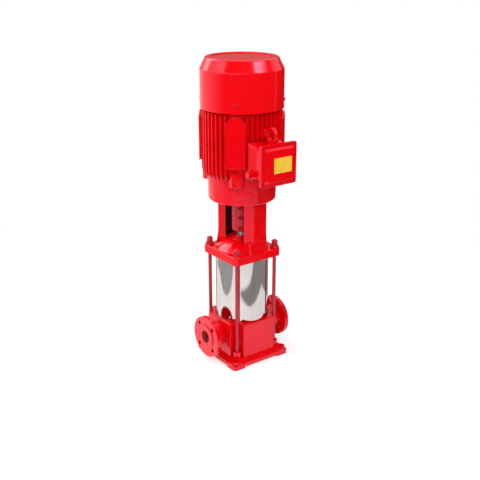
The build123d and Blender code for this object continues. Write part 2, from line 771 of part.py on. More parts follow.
def drive_end_shield():
    """The cup-shaped shield with its flange face, spigot and bearing seat."""
    bottom = STOOL_FLANGE_TOP
    body = rod_z(STOOL_FLANGE_R, bottom, bottom + SHIELD_FACE_T)
    body += rod_z(SHIELD_R, bottom + SHIELD_FACE_T - 3, SHIELD_TOP)
    body -= rod_z(SHIELD_R - SHIELD_WALL, bottom + SHIELD_FACE_T, SHIELD_TOP + 1)
    body += tube_z(BARREL_BORE_R - FIT, BARREL_BORE_R - 7, SHIELD_TOP - 8, SHIELD_TOP + REGISTER_H)
    hub_top = FRONT_BEARING_Z + BEARING_B
    body += rod_z(BEARING_OUT_R + 9, bottom + 5, hub_top)
    for angle in range(0, 360, 45):
        body += Rot(0, 0, angle) * block(BEARING_OUT_R + 5, SHIELD_R - SHIELD_WALL + 2, -3, 3, bottom + 5, hub_top - 8)
    body += rod_z(SPIGOT_R, bottom - SPIGOT_H, bottom + 1)
    body -= rod_z(BEARING_OUT_R + 0.02, FRONT_BEARING_Z, hub_top + 1)
    body -= rod_z(BEARING_IN_R + 6, bottom - SPIGOT_H - 1, FRONT_BEARING_Z + 1)
    ear = block(SHIELD_R - 9, LUG_FACE, -LUG_W / 2, LUG_W / 2, SHIELD_TOP - EAR_T, SHIELD_TOP)
    ear = chamfer(ear.edges().filter_by(Axis.Z).sort_by(Axis.X)[-2:], LUG_EDGE)
    ear -= Pos(LUG_BOLT_R, 0, 0) * rod_z(LUG_BOLT_D / 2 + 0.5, SHIELD_TOP - EAR_T - 1, SHIELD_TOP + 1)
    for angle in DIAGONALS:
        body += Rot(0, 0, angle) * ear
    for hole in around(Pos(FLANGE_BOLT_R, 0, 0) * rod_z(FLANGE_BOLT_D / 2 + FIT, bottom - 1,
                                                      bottom + SHIELD_FACE_T + 8), DIAGONALS):
        body -= hole
    return body


def shield_bolt():
    """One bolt that holds the drive-end shield, screwed up into a frame lug."""
    z0 = SHIELD_TOP - EAR_T
    bolt = rod_z(LUG_BOLT_D / 2, z0 - 1, FRAME_LUG_TOP - 10) + hexagon_z(LUG_BOLT_D * 1.6, z0 - 6.5, z0)
    return Pos(LUG_BOLT_R, 0, 0) * bolt


def flange_bolt():
    """One bolt that holds the motor flange on the stool, from below."""
    z0 = STOOL_FLANGE_BOTTOM
    bolt = rod_z(FLANGE_BOLT_D / 2, z0 - 1, STOOL_FLANGE_TOP + SHIELD_FACE_T - 1)
    bolt += hexagon_z(FLANGE_BOLT_D * 1.5, z0 - 7.5, z0)
    return Pos(FLANGE_BOLT_R, 0, 0) * bolt


def fin():
    """One axial fin along +X, drawn in toward the barrel at its lower end."""
    root = BARREL_R - 2
    low = (root, FIN_BOTTOM - 6)
    taper = ThreePointArc((BARREL_R + 1, FIN_BOTTOM - 4), (FIN_R - 4.5, FIN_BOTTOM + 0.32 * FIN_TAPER_H),
                          (FIN_R, FIN_BOTTOM + FIN_TAPER_H))
    rest = Polyline((FIN_R, FIN_BOTTOM + FIN_TAPER_H), (FIN_R, FIN_TOP - 3), (FIN_R - 3, FIN_TOP),
                    (root, FIN_TOP), low, (BARREL_R + 1, FIN_BOTTOM - 4))
    outline = Plane.XZ * make_face(taper + rest)
    return extrude(outline, FIN_T / 2, both=True)


def fin_angles():
    """Fin places on the pitch circle, left out behind the pads and the box neck."""
    pad_half = degrees(atan2(PAD_W / 2, PAD_FACE))
    places = []
    for i in range(round(360 / FIN_PITCH)):
        angle = i * FIN_PITCH
        off_pad = min(abs(angle - d) for d in DIAGONALS)
        if off_pad > pad_half + 0.2:
            places.append(angle)
    return places


def frame_pad():
    """One flat raised pad on +X, chamfered at the top and rounded at the bottom."""
    half = PAD_W / 2
    outline = make_face(Polyline((-half, PAD_BOTTOM), (half, PAD_BOTTOM), (half, PAD_TOP - PAD_CHAMFER_H),
                                 (half - PAD_CHAMFER_W, PAD_TOP), (PAD_CHAMFER_W - half, PAD_TOP),
                                 (-half, PAD_TOP - PAD_CHAMFER_H), close=True))
    outline = fillet(outline.vertices().sort_by(Axis.Y)[:2], 9)
    pad = extrude(Plane(origin=(BARREL_R - 12, 0, 0), x_dir=(0, 1, 0), z_dir=(1, 0, 0)) * outline,
                  PAD_FACE - BARREL_R + 12)
    return pad


def frame_lug():
    lug = block(BARREL_R - 4, LUG_FACE, -LUG_W / 2, LUG_W / 2, SHIELD_TOP, FRAME_LUG_TOP)
    lug = chamfer(lug.edges().filter_by(Axis.Z).sort_by(Axis.X)[-2:], LUG_EDGE)
    lug = chamfer(lug.faces().sort_by(Axis.Z)[-1].edges(), 2)
    return lug - Pos(LUG_BOLT_R, 0, 0) * rod_z(LUG_BOLT_D / 2 + FIT, SHIELD_TOP - 1, FRAME_LUG_TOP + 1)


def neck_opening(y0, y1):
    return block(-NECK_OPEN_X, NECK_OPEN_X, y0, y1, BOX_CENTRE_Z - NECK_OPEN_Z, BOX_CENTRE_Z + NECK_OPEN_Z)


def neck_foot(y0, y1):
    """The outline of the box's neck where it meets the frame, from y0 out to y1."""
    plane = Plane(origin=(0, -y0, BOX_CENTRE_Z + NECK_FOOT_RISE), x_dir=(1, 0, 0), z_dir=(0, -1, 0))
    return extrude(plane * RectangleRounded(2 * NECK_FOOT_X, 2 * NECK_FOOT_Z, NECK_CORNER_R), y1 - y0)


def motor_frame():
    body = rod_z(BARREL_R, SHIELD_TOP, FRAME_TOP)
    fins = around(fin(), fin_angles())
    body = body + fins
    for angle in DIAGONALS:
        body += Rot(0, 0, angle) * frame_pad()
        body += Rot(0, 0, angle) * frame_lug()
    reach_z = NECK_FOOT_Z + NECK_CLEAR
    middle = BOX_CENTRE_Z + NECK_FOOT_RISE
    body -= block(-NECK_FOOT_X, NECK_FOOT_X, -COWL_R, -PEDESTAL_Y, middle - reach_z, middle + reach_z)
    body += rod_y(EYE_BOSS_R, -EYE_BOSS_Y, -BARREL_BORE_R - 4, EYE_X, EYE_Z)
    body -= rod_y(EYE_THREAD_D / 2 + FIT, -EYE_BOSS_Y - 1, -EYE_BOSS_Y + EYE_THREAD_L + 2, EYE_X, EYE_Z)
    body += neck_foot(BARREL_BORE_R - 28, PEDESTAL_Y)
    body -= neck_opening(-PEDESTAL_Y - 1, -BARREL_BORE_R + 14)
    body -= rod_z(BARREL_BORE_R, SHIELD_TOP - 1, FRAME_TOP + 1)
    return body


def stator_core():
    body = tube_z(BARREL_BORE_R - FIT, STATOR_IN_R, CORE_BOTTOM, CORE_TOP)
    return body


def winding(z0, z1):
    """One end turn of the winding, a rounded ring against the core."""
    ring = tube_z(BARREL_BORE_R - 11, STATOR_IN_R + 5, z0, z1)
    return fillet(ring.edges().filter_by(GeomType.CIRCLE), 6)


def rotor_core():
    return tube_z(STATOR_IN_R - AIR, ROTOR_SHAFT_R + FIT, CORE_BOTTOM, CORE_TOP)


def rotor_end_ring(z0, up):
    """One cast end ring with its short cooling paddles."""
    z1 = z0 + up * END_RING_H
    ring = tube_z(STATOR_IN_R - 3, 52, min(z0, z1), max(z0, z1))
    tip = z1 + up * 10
    for angle in range(0, 360, 60):
        ring += Rot(0, 0, angle) * block(56, STATOR_IN_R - 5, -1.5, 1.5, min(z1 - up, tip), max(z1 - up, tip))
    return ring


def rear_end_shield():
    body = rod_z(REAR_SHIELD_R, FRAME_TOP, FRAME_TOP + REAR_SHIELD_T)
    body += rod_z(BARREL_BORE_R - FIT, FRAME_TOP - REGISTER_H, FRAME_TOP + 1)
    hub = Solid.make_cone(BEARING_OUT_R + 24, BEARING_OUT_R + 9, REAR_SHIELD_TOP - FRAME_TOP - REAR_SHIELD_T,
                          Plane(origin=(0, 0, FRAME_TOP + REAR_SHIELD_T)))
    body += hub
    body -= rod_z(BEARING_OUT_R + 0.02, FRAME_TOP - REGISTER_H - 1, REAR_BEARING_Z + BEARING_B)
    body -= rod_z(BEARING_IN_R + 6, FRAME_TOP, REAR_SHIELD_TOP + 1)
    ear = block(REAR_SHIELD_R - 20, COWL_R - COWL_T - FIT, -COWL_EAR_W / 2, COWL_EAR_W / 2,
                FRAME_TOP + 2, COWL_SCREW_Z + 9)
    ear = ear & rod_z(COWL_R - COWL_T - 0.1, FRAME_TOP, COWL_TOP)
    for angle in DIAGONALS:
        hole = Rot(0, 0, angle) * rod_x(2.5 + FIT, REAR_SHIELD_R - 8, COWL_R, 0, COWL_SCREW_Z)
        body = body + Rot(0, 0, angle) * ear - hole
    for place in rear_screw_places():
        body -= place * rod_z(3 + FIT, FRAME_TOP - 1, FRAME_TOP + REAR_SHIELD_T + 1)
    return body


def rear_screw_places():
    return [Rot(0, 0, a) * Pos((BARREL_BORE_R + BARREL_R) / 2, 0, 0) for a in (0, 90, 180, 270)]


def rear_screw():
    z0 = FRAME_TOP + REAR_SHIELD_T
    return rod_z(3, FRAME_TOP + 0.3, z0 + 1) + hexagon_z(10, z0, z0 + 4)


# Fan and cowl

def cowl_outline(inset):
    """Half outline of the cowl, moved in by the given wall thickness."""
    r = COWL_R - inset
    top_r = COWL_TOP_R - inset * 0.55
    top = COWL_TOP - inset
    return make_face(Polyline((0, COWL_BOTTOM - (1 if inset else 0)), (r, COWL_BOTTOM - (1 if inset else 0)),
                              (r, COWL_SHOULDER), (top_r, top), (0, top), close=True))


def cowl_shape(inset):
    shape = revolve(Plane.XZ * cowl_outline(inset), Axis.Z)
    rings = shape.edges().filter_by(GeomType.CIRCLE).sort_by(Axis.Z)
    shoulder = [e for e in rings if e.radius > 1 and abs(e.center().Z - COWL_SHOULDER) < 1]
    rim = [e for e in rings if abs(e.center().Z - COWL_TOP + inset) < 0.5]
    return fillet(shoulder + rim, COWL_ROUND - inset)


def fan_cowl():
    body = cowl_shape(0) - cowl_shape(COWL_T)
    body -= rod_z(GRILLE_R, COWL_TOP - 6, COWL_TOP + 1)
    step = COWL_TOP - GRILLE_DROP
    body += tube_z(GRILLE_R + 3, GRILLE_R, step - GRILLE_T - 1.4, COWL_TOP - COWL_T + 0.5)
    body += tube_z(GRILLE_R + 1, GRILLE_R - GRILLE_LAP, step - GRILLE_T - 1.4, step - GRILLE_T)
    for angle in DIAGONALS:
        body -= Rot(0, 0, angle) * rod_x(2.8, COWL_R - 8, COWL_R + 2, 0, COWL_SCREW_Z)
    return body


def fan_grille():
    """The perforated disc in the cowl's top, its holes on a hexagonal grid."""
    z1 = COWL_TOP - GRILLE_DROP
    disc = rod_z(GRILLE_R - FIT, z1 - GRILLE_T, z1)
    reach = GRILLE_R - GRILLE_LAP - GRILLE_HOLE
    rows = int(reach / GRILLE_PITCH) + 2
    cuts = []
    for i in range(-rows, rows + 1):
        for j in range(-rows, rows + 1):
            x = GRILLE_PITCH * (i + j / 2)
            y = GRILLE_PITCH * j * sqrt(3) / 2
            if GRILLE_PITCH / 2 < sqrt(x * x + y * y) < reach:
                cuts.append(Pos(x, y, z1 - GRILLE_T - 1) * extrude(RegularPolygon(GRILLE_HOLE, 6), GRILLE_T + 2))
    disc = disc - cuts
    return disc - rod_z(3, z1 - 5, z1 + 1)


def cowl_screw():
    """One pan-headed screw along +X through the cowl into a shield ear."""
    stem = rod_x(2.5, COWL_R - 12, COWL_R + 1, 0, COWL_SCREW_Z)
    head = rod_x(5.5, COWL_R + 0.3, COWL_R + 4, 0, COWL_SCREW_Z)
    return stem + chamfer(head.faces().sort_by(Axis.X)[-1].edges(), 1.2)


def cooling_fan():
    hub = tube_z(30, FAN_SEAT_R + FIT, FAN_Z, FAN_Z + FAN_H - 10)
    body = hub + tube_z(FAN_R - 8, 28, FAN_Z, FAN_Z + 4)
    blade = make_face(Polyline((26, FAN_Z), (FAN_R, FAN_Z), (FAN_R, FAN_Z + FAN_H - 12), (FAN_R - 14, FAN_Z + FAN_H),
                               (60, FAN_Z + FAN_H), (28, FAN_Z + FAN_H - 14), close=True))
    blade = extrude(Plane.XZ * blade, 1.8, both=True)
    for n in range(FAN_BLADES):
        body += Rot(0, 0, n * 360 / FAN_BLADES) * blade
    return body


# Terminal box

def slab_y(half_x, half_z, y_near, y_far, corner):
    """A rounded rectangle in the box's face, from y_near out to y_far on the -Y side."""
    plane = Plane(origin=(0, -y_near, BOX_CENTRE_Z), x_dir=(1, 0, 0), z_dir=(0, -1, 0))
    return extrude(plane * RectangleRounded(2 * half_x, 2 * half_z, corner), y_far - y_near)


def lid_screw_places():
    dx = RIM_HALF_X - LID_SCREW_INSET
    dz = RIM_HALF_Z - LID_SCREW_INSET
    return [(x, BOX_CENTRE_Z + z) for x in (-dx, dx) for z in (-dz, dz)]


def terminal_box():
    neck_back = PEDESTAL_Y + GASKET_T
    lower = Plane(origin=(0, -neck_back, BOX_CENTRE_Z + NECK_FOOT_RISE), x_dir=(1, 0, 0), z_dir=(0, -1, 0))
    upper = Plane(origin=(0, -BOX_BACK_Y - 2, BOX_CENTRE_Z + NECK_END_RISE), x_dir=(1, 0, 0), z_dir=(0, -1, 0))
    neck = loft([lower * RectangleRounded(2 * NECK_FOOT_X, 2 * NECK_FOOT_Z, NECK_CORNER_R),
                 upper * RectangleRounded(2 * NECK_END_X, 2 * NECK_END_Z, NECK_CORNER_R)])
    body = neck + slab_y(BOX_HALF_X, BOX_HALF_Z, BOX_BACK_Y, LID_Y - GASKET_T, 10)
    body += slab_y(RIM_HALF_X, RIM_HALF_Z, RIM_Y, LID_Y - GASKET_T, LID_CORNER_R)
    entry_z = BOX_CENTRE_Z - ENTRY_DROP
    body += rod_x(ENTRY_R, -ENTRY_X, -NECK_OPEN_X - 4, -ENTRY_Y, entry_z)
    body -= slab_y(BOX_HALF_X - BOX_WALL, BOX_HALF_Z - BOX_WALL, BOX_BACK_Y + BOX_WALL, LID_Y + 1, 7)
    body -= neck_opening(-BOX_BACK_Y - BOX_WALL - 1, -neck_back + 1)
    body -= rod_x(PLUG_D / 2 + FIT, -ENTRY_X - 1, -NECK_OPEN_X + 8, -ENTRY_Y, entry_z)
    for x, z in lid_screw_places():
        body -= rod_y(LID_SCREW_D / 2 + FIT, -LID_Y - 1, -RIM_Y - 1 + 3, x, z)
    for x, z in box_screw_places():
        body -= rod_y(2.5 + FIT, -BOX_BACK_Y - BOX_WALL - 1, -neck_back + 1, x, z)
    return body


def box_screw_places():
    dx = NECK_OPEN_X + 6
    dz = NECK_OPEN_Z + 6
    return [(x, BOX_CENTRE_Z + z) for x in (-dx, dx) for z in (-dz, dz)]


def box_screw(x, z):
    """One screw from inside the box through its neck, up to the frame pad."""
    seat = -BOX_BACK_Y - BOX_WALL
    return rod_y(2.5, seat - 1, -PEDESTAL_Y - GASKET_T - 0.3, x, z) + rod_y(4.5, seat - 5, seat, x, z)


def neck_gasket():
    ring = neck_foot(PEDESTAL_Y, PEDESTAL_Y + GASKET_T)
    return ring - neck_opening(-PEDESTAL_Y - GASKET_T - 1, -PEDESTAL_Y + 1)


def lid_gasket():
    ring = slab_y(RIM_HALF_X, RIM_HALF_Z, LID_Y - GASKET_T, LID_Y, LID_CORNER_R)
    ring -= slab_y(BOX_HALF_X - BOX_WALL, BOX_HALF_Z - BOX_WALL, LID_Y - 5, LID_Y + 1, 7)
    for x, z in lid_screw_places():
        ring -= rod_y(LID_SCREW_D / 2 + 0.3, -LID_Y - 1, -LID_Y + GASKET_T + 1, x, z)
    return ring


def terminal_board():
    board = slab_y(BOARD_HALF_X, BOARD_HALF_Z, BOX_BACK_Y + BOX_WALL, BOX_BACK_Y + BOX_WALL + BOARD_T, 3)
    front = BOX_BACK_Y + BOX_WALL + BOARD_T
    for x in (-BOARD_HALF_X / 3, BOARD_HALF_X / 3):
        rib = block(x - 1.5, x + 1.5, -front - 8, -front + 1, BOX_CENTRE_Z - BOARD_HALF_Z + 2,
                    BOX_CENTRE_Z + BOARD_HALF_Z - 2)
        board += rib
    return board


def terminal_studs():
    """Six studs with their nuts, in two rows on the board."""
    front = BOX_BACK_Y + BOX_WALL + BOARD_T
    studs = []
    for x in (-BOARD_HALF_X * 0.68, 0, BOARD_HALF_X * 0.68):
        for z in (BOX_CENTRE_Z - BOARD_HALF_Z / 2, BOX_CENTRE_Z + BOARD_HALF_Z / 2):
            stud = rod_y(STUD_D / 2, -front - 18, -front, x, z)
            nut = Pos(x, -front - 5, z) * Rot(-90, 0, 0) * hexagon_z(STUD_D * 1.6, 0, 5)
            studs.append(stud + nut)
    return studs


def entry_plug():
    """The screwed blanking plug of the cable entry, its head toward -X."""
    return Pos(-ENTRY_X, -ENTRY_Y, BOX_CENTRE_Z - ENTRY_DROP) * Rot(0, -90, 0) * hex_plug()


def lid_body(inset):
    """The lid's outside, or with an inset the hollow behind it."""
    edge = slab_y(RIM_HALF_X + 1 - inset, RIM_HALF_Z + 1 - inset, LID_Y - (1 if inset else 0), LID_EDGE_Y - inset,
                  LID_CORNER_R - inset * 0.8)
    low = Plane(origin=(0, -LID_EDGE_Y + inset, BOX_CENTRE_Z), x_dir=(1, 0, 0), z_dir=(0, -1, 0))
    high = Plane(origin=(0, -LID_FACE_Y + inset, BOX_CENTRE_Z), x_dir=(1, 0, 0), z_dir=(0, -1, 0))
    margin = 12 + inset * 0.6
    bevel = loft([low * RectangleRounded(2 * (RIM_HALF_X - margin), 2 * (RIM_HALF_Z - margin), 9),
                  high * RectangleRounded(2 * (LID_PLATEAU_X - inset), 2 * (LID_PLATEAU_Z - inset), 8)])
    return edge + bevel


def terminal_box_lid():
    lid = lid_body(0)
    hollow = slab_y(BOX_HALF_X - BOX_WALL, BOX_HALF_Z - BOX_WALL, LID_Y - 1, LID_EDGE_Y - LID_T, 6)
    lid -= hollow
    low = Plane(origin=(0, -LID_EDGE_Y + LID_T + 0.5, BOX_CENTRE_Z), x_dir=(1, 0, 0), z_dir=(0, -1, 0))
    high = Plane(origin=(0, -LID_FACE_Y + LID_T, BOX_CENTRE_Z), x_dir=(1, 0, 0), z_dir=(0, -1, 0))
    lid -= loft([low * RectangleRounded(2 * (LID_PLATEAU_X), 2 * (LID_PLATEAU_Z - 4), 6),
                 high * RectangleRounded(2 * (LID_PLATEAU_X - 4), 2 * (LID_PLATEAU_Z - 6), 6)])
    for x, z in lid_screw_places():
        lid -= rod_y(LID_SCREW_D / 2 + 0.3, -LID_FACE_Y, -LID_Y + 1, x, z)
        lid -= rod_y(LID_SCREW_D + 0.3, -LID_FACE_Y, -LID_EDGE_Y + 3, x, z)
    return lid


def lid_screw(x, z):
    seat = -LID_EDGE_Y + 3
    screw = rod_y(LID_SCREW_D / 2, seat - 1, -RIM_Y - 1, x, z) + rod_y(LID_SCREW_D * 0.85, seat - 4, seat, x, z)
    return screw - block(x - 0.6, x + 0.6, seat - 6, seat - 2.5, z - 6, z + 6)


def lid_label():
    plane = Plane(origin=(LABEL_X, -LID_FACE_Y, BOX_CENTRE_Z), x_dir=(1, 0, 0), z_dir=(0, -1, 0))
    return extrude(plane * RectangleRounded(LABEL_W, LABEL_H, 2), LABEL_T)


# Lifting eye

def lifting_eye():
    """An eye bolt along -Y, its ring standing in line with the shaft."""
    shank = rod_y(EYE_THREAD_D / 2, -1, EYE_THREAD_L, 0, 0)
    shoulder = rod_y(EYE_SHOULDER_R, -5, 0, 0, 0)
    centre_y = -(5 + EYE_RING_R + EYE_WIRE_R * 0.55)
    ring = Pos(0, centre_y, 0) * Rot(90, 0, 0) * Rot(0, 90, 0) * Torus(EYE_RING_R, EYE_WIRE_R)
    neck = Solid.make_cone(EYE_SHOULDER_R - 3, EYE_WIRE_R, 8, Plane(origin=(0, -4, 0), z_dir=(0, -1, 0)))
    return Pos(EYE_X, -EYE_BOSS_Y, EYE_Z) * (shank + shoulder + neck + ring)


def main():
    write("pump_base", pump_base())
    write("drain_plug", Pos(DRAIN_X, BLOCK_HALF, DRAIN_Z) * Rot(-90, 0, 0) * hex_plug())
    write("outer_sleeve", outer_sleeve())
    write("sleeve_seals", [sleeve_seal(sleeve_bottom() - SEAL_D), sleeve_seal(sleeve_top())])
    write("tie_rods", [tie_rod(x, y) for x, y in rod_corners()])
    write("tie_rod_nuts", [piece(x, y) for piece in (cap_nut, rod_washer) for x, y in rod_corners()])
    write("motor_stool", motor_stool())
    write("vent_plug", Pos(VENT_X, 0, VENT_BOSS_TOP) * hex_plug())
    write("seal_gland", seal_gland())
    write("gland_screws", around(gland_screw(), DIAGONALS))
    write("seal_seat", seal_seat())
    write("seal_head", seal_head())
    write("seal_collar", seal_collar())
    write("suction_guide", suction_guide())
    write("lower_bush", lower_bush())
    for i in range(STAGES):
        write(f"stage_chamber_{i + 1}", stage_chamber(i))
        write(f"impeller_{i + 1}", impeller(i))
    write("discharge_cap", discharge_cap())
    write("pump_shaft", pump_shaft())
    write("coupling_half_front", Rot(0, 0, COUPLING_TURN) * coupling_half())
    write("coupling_half_rear", Rot(0, 0, COUPLING_TURN + 180) * coupling_half())
    write("coupling_bolts", around(Compound(children=coupling_bolts()), [COUPLING_TURN]))
    write("motor_shaft", motor_shaft())
    write("front_bearing_outer", bearing_outer(FRONT_BEARING_Z))
    write("front_bearing_inner", bearing_inner(FRONT_BEARING_Z))
    write("front_bearing_balls", ball_set(FRONT_BEARING_Z))
    write("rear_bearing_outer", bearing_outer(REAR_BEARING_Z))
    write("rear_bearing_inner", bearing_inner(REAR_BEARING_Z))
    write("rear_bearing_balls", ball_set(REAR_BEARING_Z))
    write("drive_end_shield", drive_end_shield())
    write("shield_bolts", around(shield_bolt(), DIAGONALS))
    write("flange_bolts", around(flange_bolt(), DIAGONALS))
    write("motor_frame", motor_frame())
    write("stator_core", stator_core())
    write("stator_windings", [winding(CORE_BOTTOM - WINDING_H, CORE_BOTTOM), winding(CORE_TOP, CORE_TOP + WINDING_H)])
    write("rotor_core", rotor_core())
    write("rotor_end_rings", [rotor_end_ring(CORE_BOTTOM, -1), rotor_end_ring(CORE_TOP, 1)])
    write("rear_end_shield", rear_end_shield())
    write("rear_shield_screws", [place * rear_screw() for place in rear_screw_places()])
    write("fan_cowl", fan_cowl())
    write("fan_grille", fan_grille())
    write("cowl_screws", around(cowl_screw(), DIAGONALS))
    write("cooling_fan", cooling_fan())
    write("terminal_box", terminal_box())
    write("neck_gasket", neck_gasket())
    write("box_screws", [box_screw(x, z) for x, z in box_screw_places()])
    write("lid_gasket", lid_gasket())
    write("terminal_board", terminal_board())
    write("terminal_studs", terminal_studs())
    write("entry_plug", entry_plug())
    write("terminal_box_lid", terminal_box_lid())
    write("lid_screws", [lid_screw(x, z) for x, z in lid_screw_places()])
    write("lid_label", lid_label())
    write("lifting_eye", lifting_eye())


if __name__ == "__main__":
    main()
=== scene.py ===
"""Visual model of a vertical multistage in-line pump with a flanged motor on top.

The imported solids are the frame, in metres: the shaft stands on the origin, -X is the suction side and
-Y the terminal box side. This file gives them their paint and metals, adds the fine pieces that the
solids leave out, and sets the stage.
"""

import math

import bmesh
import bpy
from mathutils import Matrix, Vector
from mathutils.geometry import delaunay_2d_cdt


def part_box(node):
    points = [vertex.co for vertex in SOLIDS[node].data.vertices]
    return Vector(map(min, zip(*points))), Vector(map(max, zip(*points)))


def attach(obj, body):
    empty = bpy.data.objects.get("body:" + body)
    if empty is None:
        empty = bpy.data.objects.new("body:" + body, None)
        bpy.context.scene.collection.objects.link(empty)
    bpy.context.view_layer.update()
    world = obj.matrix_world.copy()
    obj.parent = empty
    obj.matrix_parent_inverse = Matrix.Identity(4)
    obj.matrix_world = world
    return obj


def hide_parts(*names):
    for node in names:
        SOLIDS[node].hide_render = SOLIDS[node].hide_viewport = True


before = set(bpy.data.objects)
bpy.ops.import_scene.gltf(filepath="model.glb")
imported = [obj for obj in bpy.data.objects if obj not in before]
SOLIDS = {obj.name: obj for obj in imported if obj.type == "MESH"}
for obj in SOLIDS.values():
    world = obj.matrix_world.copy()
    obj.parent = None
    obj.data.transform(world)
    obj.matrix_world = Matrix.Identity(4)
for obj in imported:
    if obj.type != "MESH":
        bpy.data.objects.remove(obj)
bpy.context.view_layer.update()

bl_info = {
    "name": "Vertical Pump Dressing",
    "version": (1, 0, 0),
    "blender": (4, 5, 0),
    "location": "3D View > Sidebar > Pump",
    "description": "Paint, metals, fine pieces and stage for a vertical multistage pump",
    "category": "Object",
}

UP = Vector((0, 0, 1))
PORT_HEIGHT = 0.112
PORT_RADIUS = 0.0254
HYDRAULICS_RADIUS = 0.0965
FRAME_BORE_RADIUS = 0.1235
STOOL_BORE_RADIUS = 0.0695
DECK_HEIGHT = 0.490
# The four pads of the motor frame: how far out their faces are, their turns, and one outline as (across, up).
PAD_FACE = 0.155
PAD_TURNS = (45, 135, 225, 315)
PAD_OUTLINE = ((-0.0365, 0.804), (0.0365, 0.804), (0.0365, 0.969), (0.0165, 0.991), (-0.0165, 0.991),
               (-0.0365, 0.969))
# Their borders: how deep the foot is sunk into the pad's face, and how wide the two slopes are.
PAD_SINK = 0.0003
PAD_OUTER_SLOPE = 0.0008
PAD_INNER_SLOPE = 0.001
# Corners of the grille's disc, of one hole's outline and of the outline in the middle, and that one's radius.
DISC_CORNERS = 96
HOLE_CORNERS = 6
CENTRE_CORNERS = 12
CENTRE_RADIUS = 0.004
# What the triangulation gives: faces that bmesh can take, those within the holes' outlines among them.
ALL_VALID_FACES = 4
MERGE_DISTANCE = 1e-7
# Bands of a wave texture in one unit at a scale of 1: along an axis, and measured square to diagonal ones.
AXIS_BANDS = 20 / math.tau
DIAGONAL_BANDS = 10 * math.sqrt(3) / math.tau
SENSOR_WIDTH = 36.0
FLOOR_SHADE_HEIGHT = 0.004
CARD_STEPS = 24
# Soft boxes: degrees from the camera, height, width, depth, share of the key power, seen by reflections.
SOFT_BOXES = (
    ("left_soft_box", -84, 2.90, 2.4, 0.9, 0.50, True),
    ("right_soft_box", 61, 3.00, 1.5, 0.7, 1.0, True),
    ("front_strip", -36, 1.62, 3.0, 0.22, 0.40, True),
    ("left_fill", -86, 1.60, 1.6, 1.6, 0.45, False),
    ("front_fill", 10, 2.10, 1.2, 1.2, 0.45, False),
    ("rear_soft_box", -128, 2.35, 1.4, 1.4, 0.7, True),
)
# Cards swept about the shaft: first and last degrees from the camera, (radius, height) of two edges, tones.
CARDS = (
    ("front_fading_wall", -92, -48, (2.6, 0.0), (2.6, 4.8), ("#FFFFFF", "#0C0C0C")),
    ("front_dark_wall", -48, 98, (2.6, 0.0), (2.6, 4.8), ("#0C0C0C", "#0C0C0C")),
    ("back_right_dark_card", 98, 160, (1.45, 0.0), (1.45, 1.45), ("#141414", "#141414")),
    ("rear_dark_card", 160, 198, (1.45, 0.0), (1.45, 0.7), ("#202020", "#202020")),
    ("rear_high_card", 140, 220, (1.0, 1.2), (1.0, 1.6), ("#7A7A7A", "#7A7A7A")),
    ("rear_grey_card", 140, 220, (2.5, 1.1), (2.5, 2.0), ("#C0C0C0", "#C0C0C0")),
)
# The dark floor that the polished sleeve shows: tone, and outline as (degrees from the camera, metres).
FLOOR_SHADES = (
    ("left_floor_shade", "#C2C2C2", ((-128, 1.02), (-112, 0.98), (-103, 0.92), (-95, 0.82), (-82, 0.73),
                                     (-70, 0.70), (-56, 0.73), (-43, 0.84), (-36, 1.10), (-34, 2.6),
                                     (-100, 2.6), (-104, 1.8), (-128, 1.8))),
    ("right_floor_shade", "#A2A2A2", ((-8, 0.76), (0, 0.71), (15, 0.64), (30, 0.61), (45, 0.62), (61, 0.66),
                                      (75, 0.73), (89, 0.81), (104, 0.74), (120, 0.66), (138, 0.60),
                                      (160, 0.60), (160, 1.25), (98, 1.25), (55, 1.25), (51, 1.25),
                                      (44, 1.02), (32, 0.88), (15, 0.82), (0, 0.80))),
    ("left_dark_floor", "#8C8C8C", ((-114, 1.36), (-100, 1.36), (-100, 1.64), (-114, 1.64))),
    ("right_dark_floor", "#141414", ((98, 1.25), (51, 1.25), (53, 1.6), (55, 2.6), (98, 2.6))),
)


# Colour and pattern helpers. A Mix node has numbers at inputs 2 and 3, and colours at 6 and 7 and output 2.


def linear(hex_colour):
    """Linear RGBA of an sRGB hex value."""
    channels = []
    for start in (1, 3, 5):
        value = int(hex_colour[start : start + 2], 16) / 255
        channels.append(value / 12.92 if value <= 0.04045 else ((value + 0.055) / 1.055) ** 2.4)
    return (*channels, 1.0)


def per_mm(size):
    """Texture scale at which one grain is size millimetres across."""
    return 1000.0 / size


def node(tree, kind, inputs=None, **settings):
    """Adds a shader node. An input is a value, a socket to link, or a node to link by its first output."""
    made = tree.nodes.new(kind)
    for name, value in settings.items():
        setattr(made, name, value)
    for socket, value in (inputs or {}).items():
        if isinstance(value, bpy.types.Node):
            value = value.outputs[0]
        if isinstance(value, bpy.types.NodeSocket):
            tree.links.new(value, made.inputs[socket])
        else:
            made.inputs[socket].default_value = value
    return made


def new_material(name, **sockets):
    """A material with one Principled shader, the shader's fixed socket values, and object coordinates."""
    material = bpy.data.materials.new(name)
    material.use_nodes = True
    tree = material.node_tree
    tree.nodes.clear()
    values = {key.replace("_", " "): value for key, value in sockets.items()}
    surface = node(tree, "ShaderNodeBsdfPrincipled", values)
    node(tree, "ShaderNodeOutputMaterial", {"Surface": surface})
    place = node(tree, "ShaderNodeTexCoord").outputs["Object"]
    return material, tree, surface, place


def cover(tree, surface, colour, roughness, normal):
    """Links what changes from place to place on a surface, each a node or one of its sockets."""
    for name, source in (("Base Color", colour), ("Roughness", roughness), ("Normal", normal)):
        socket = source.outputs[0] if isinstance(source, bpy.types.Node) else source
        tree.links.new(socket, surface.inputs[name])


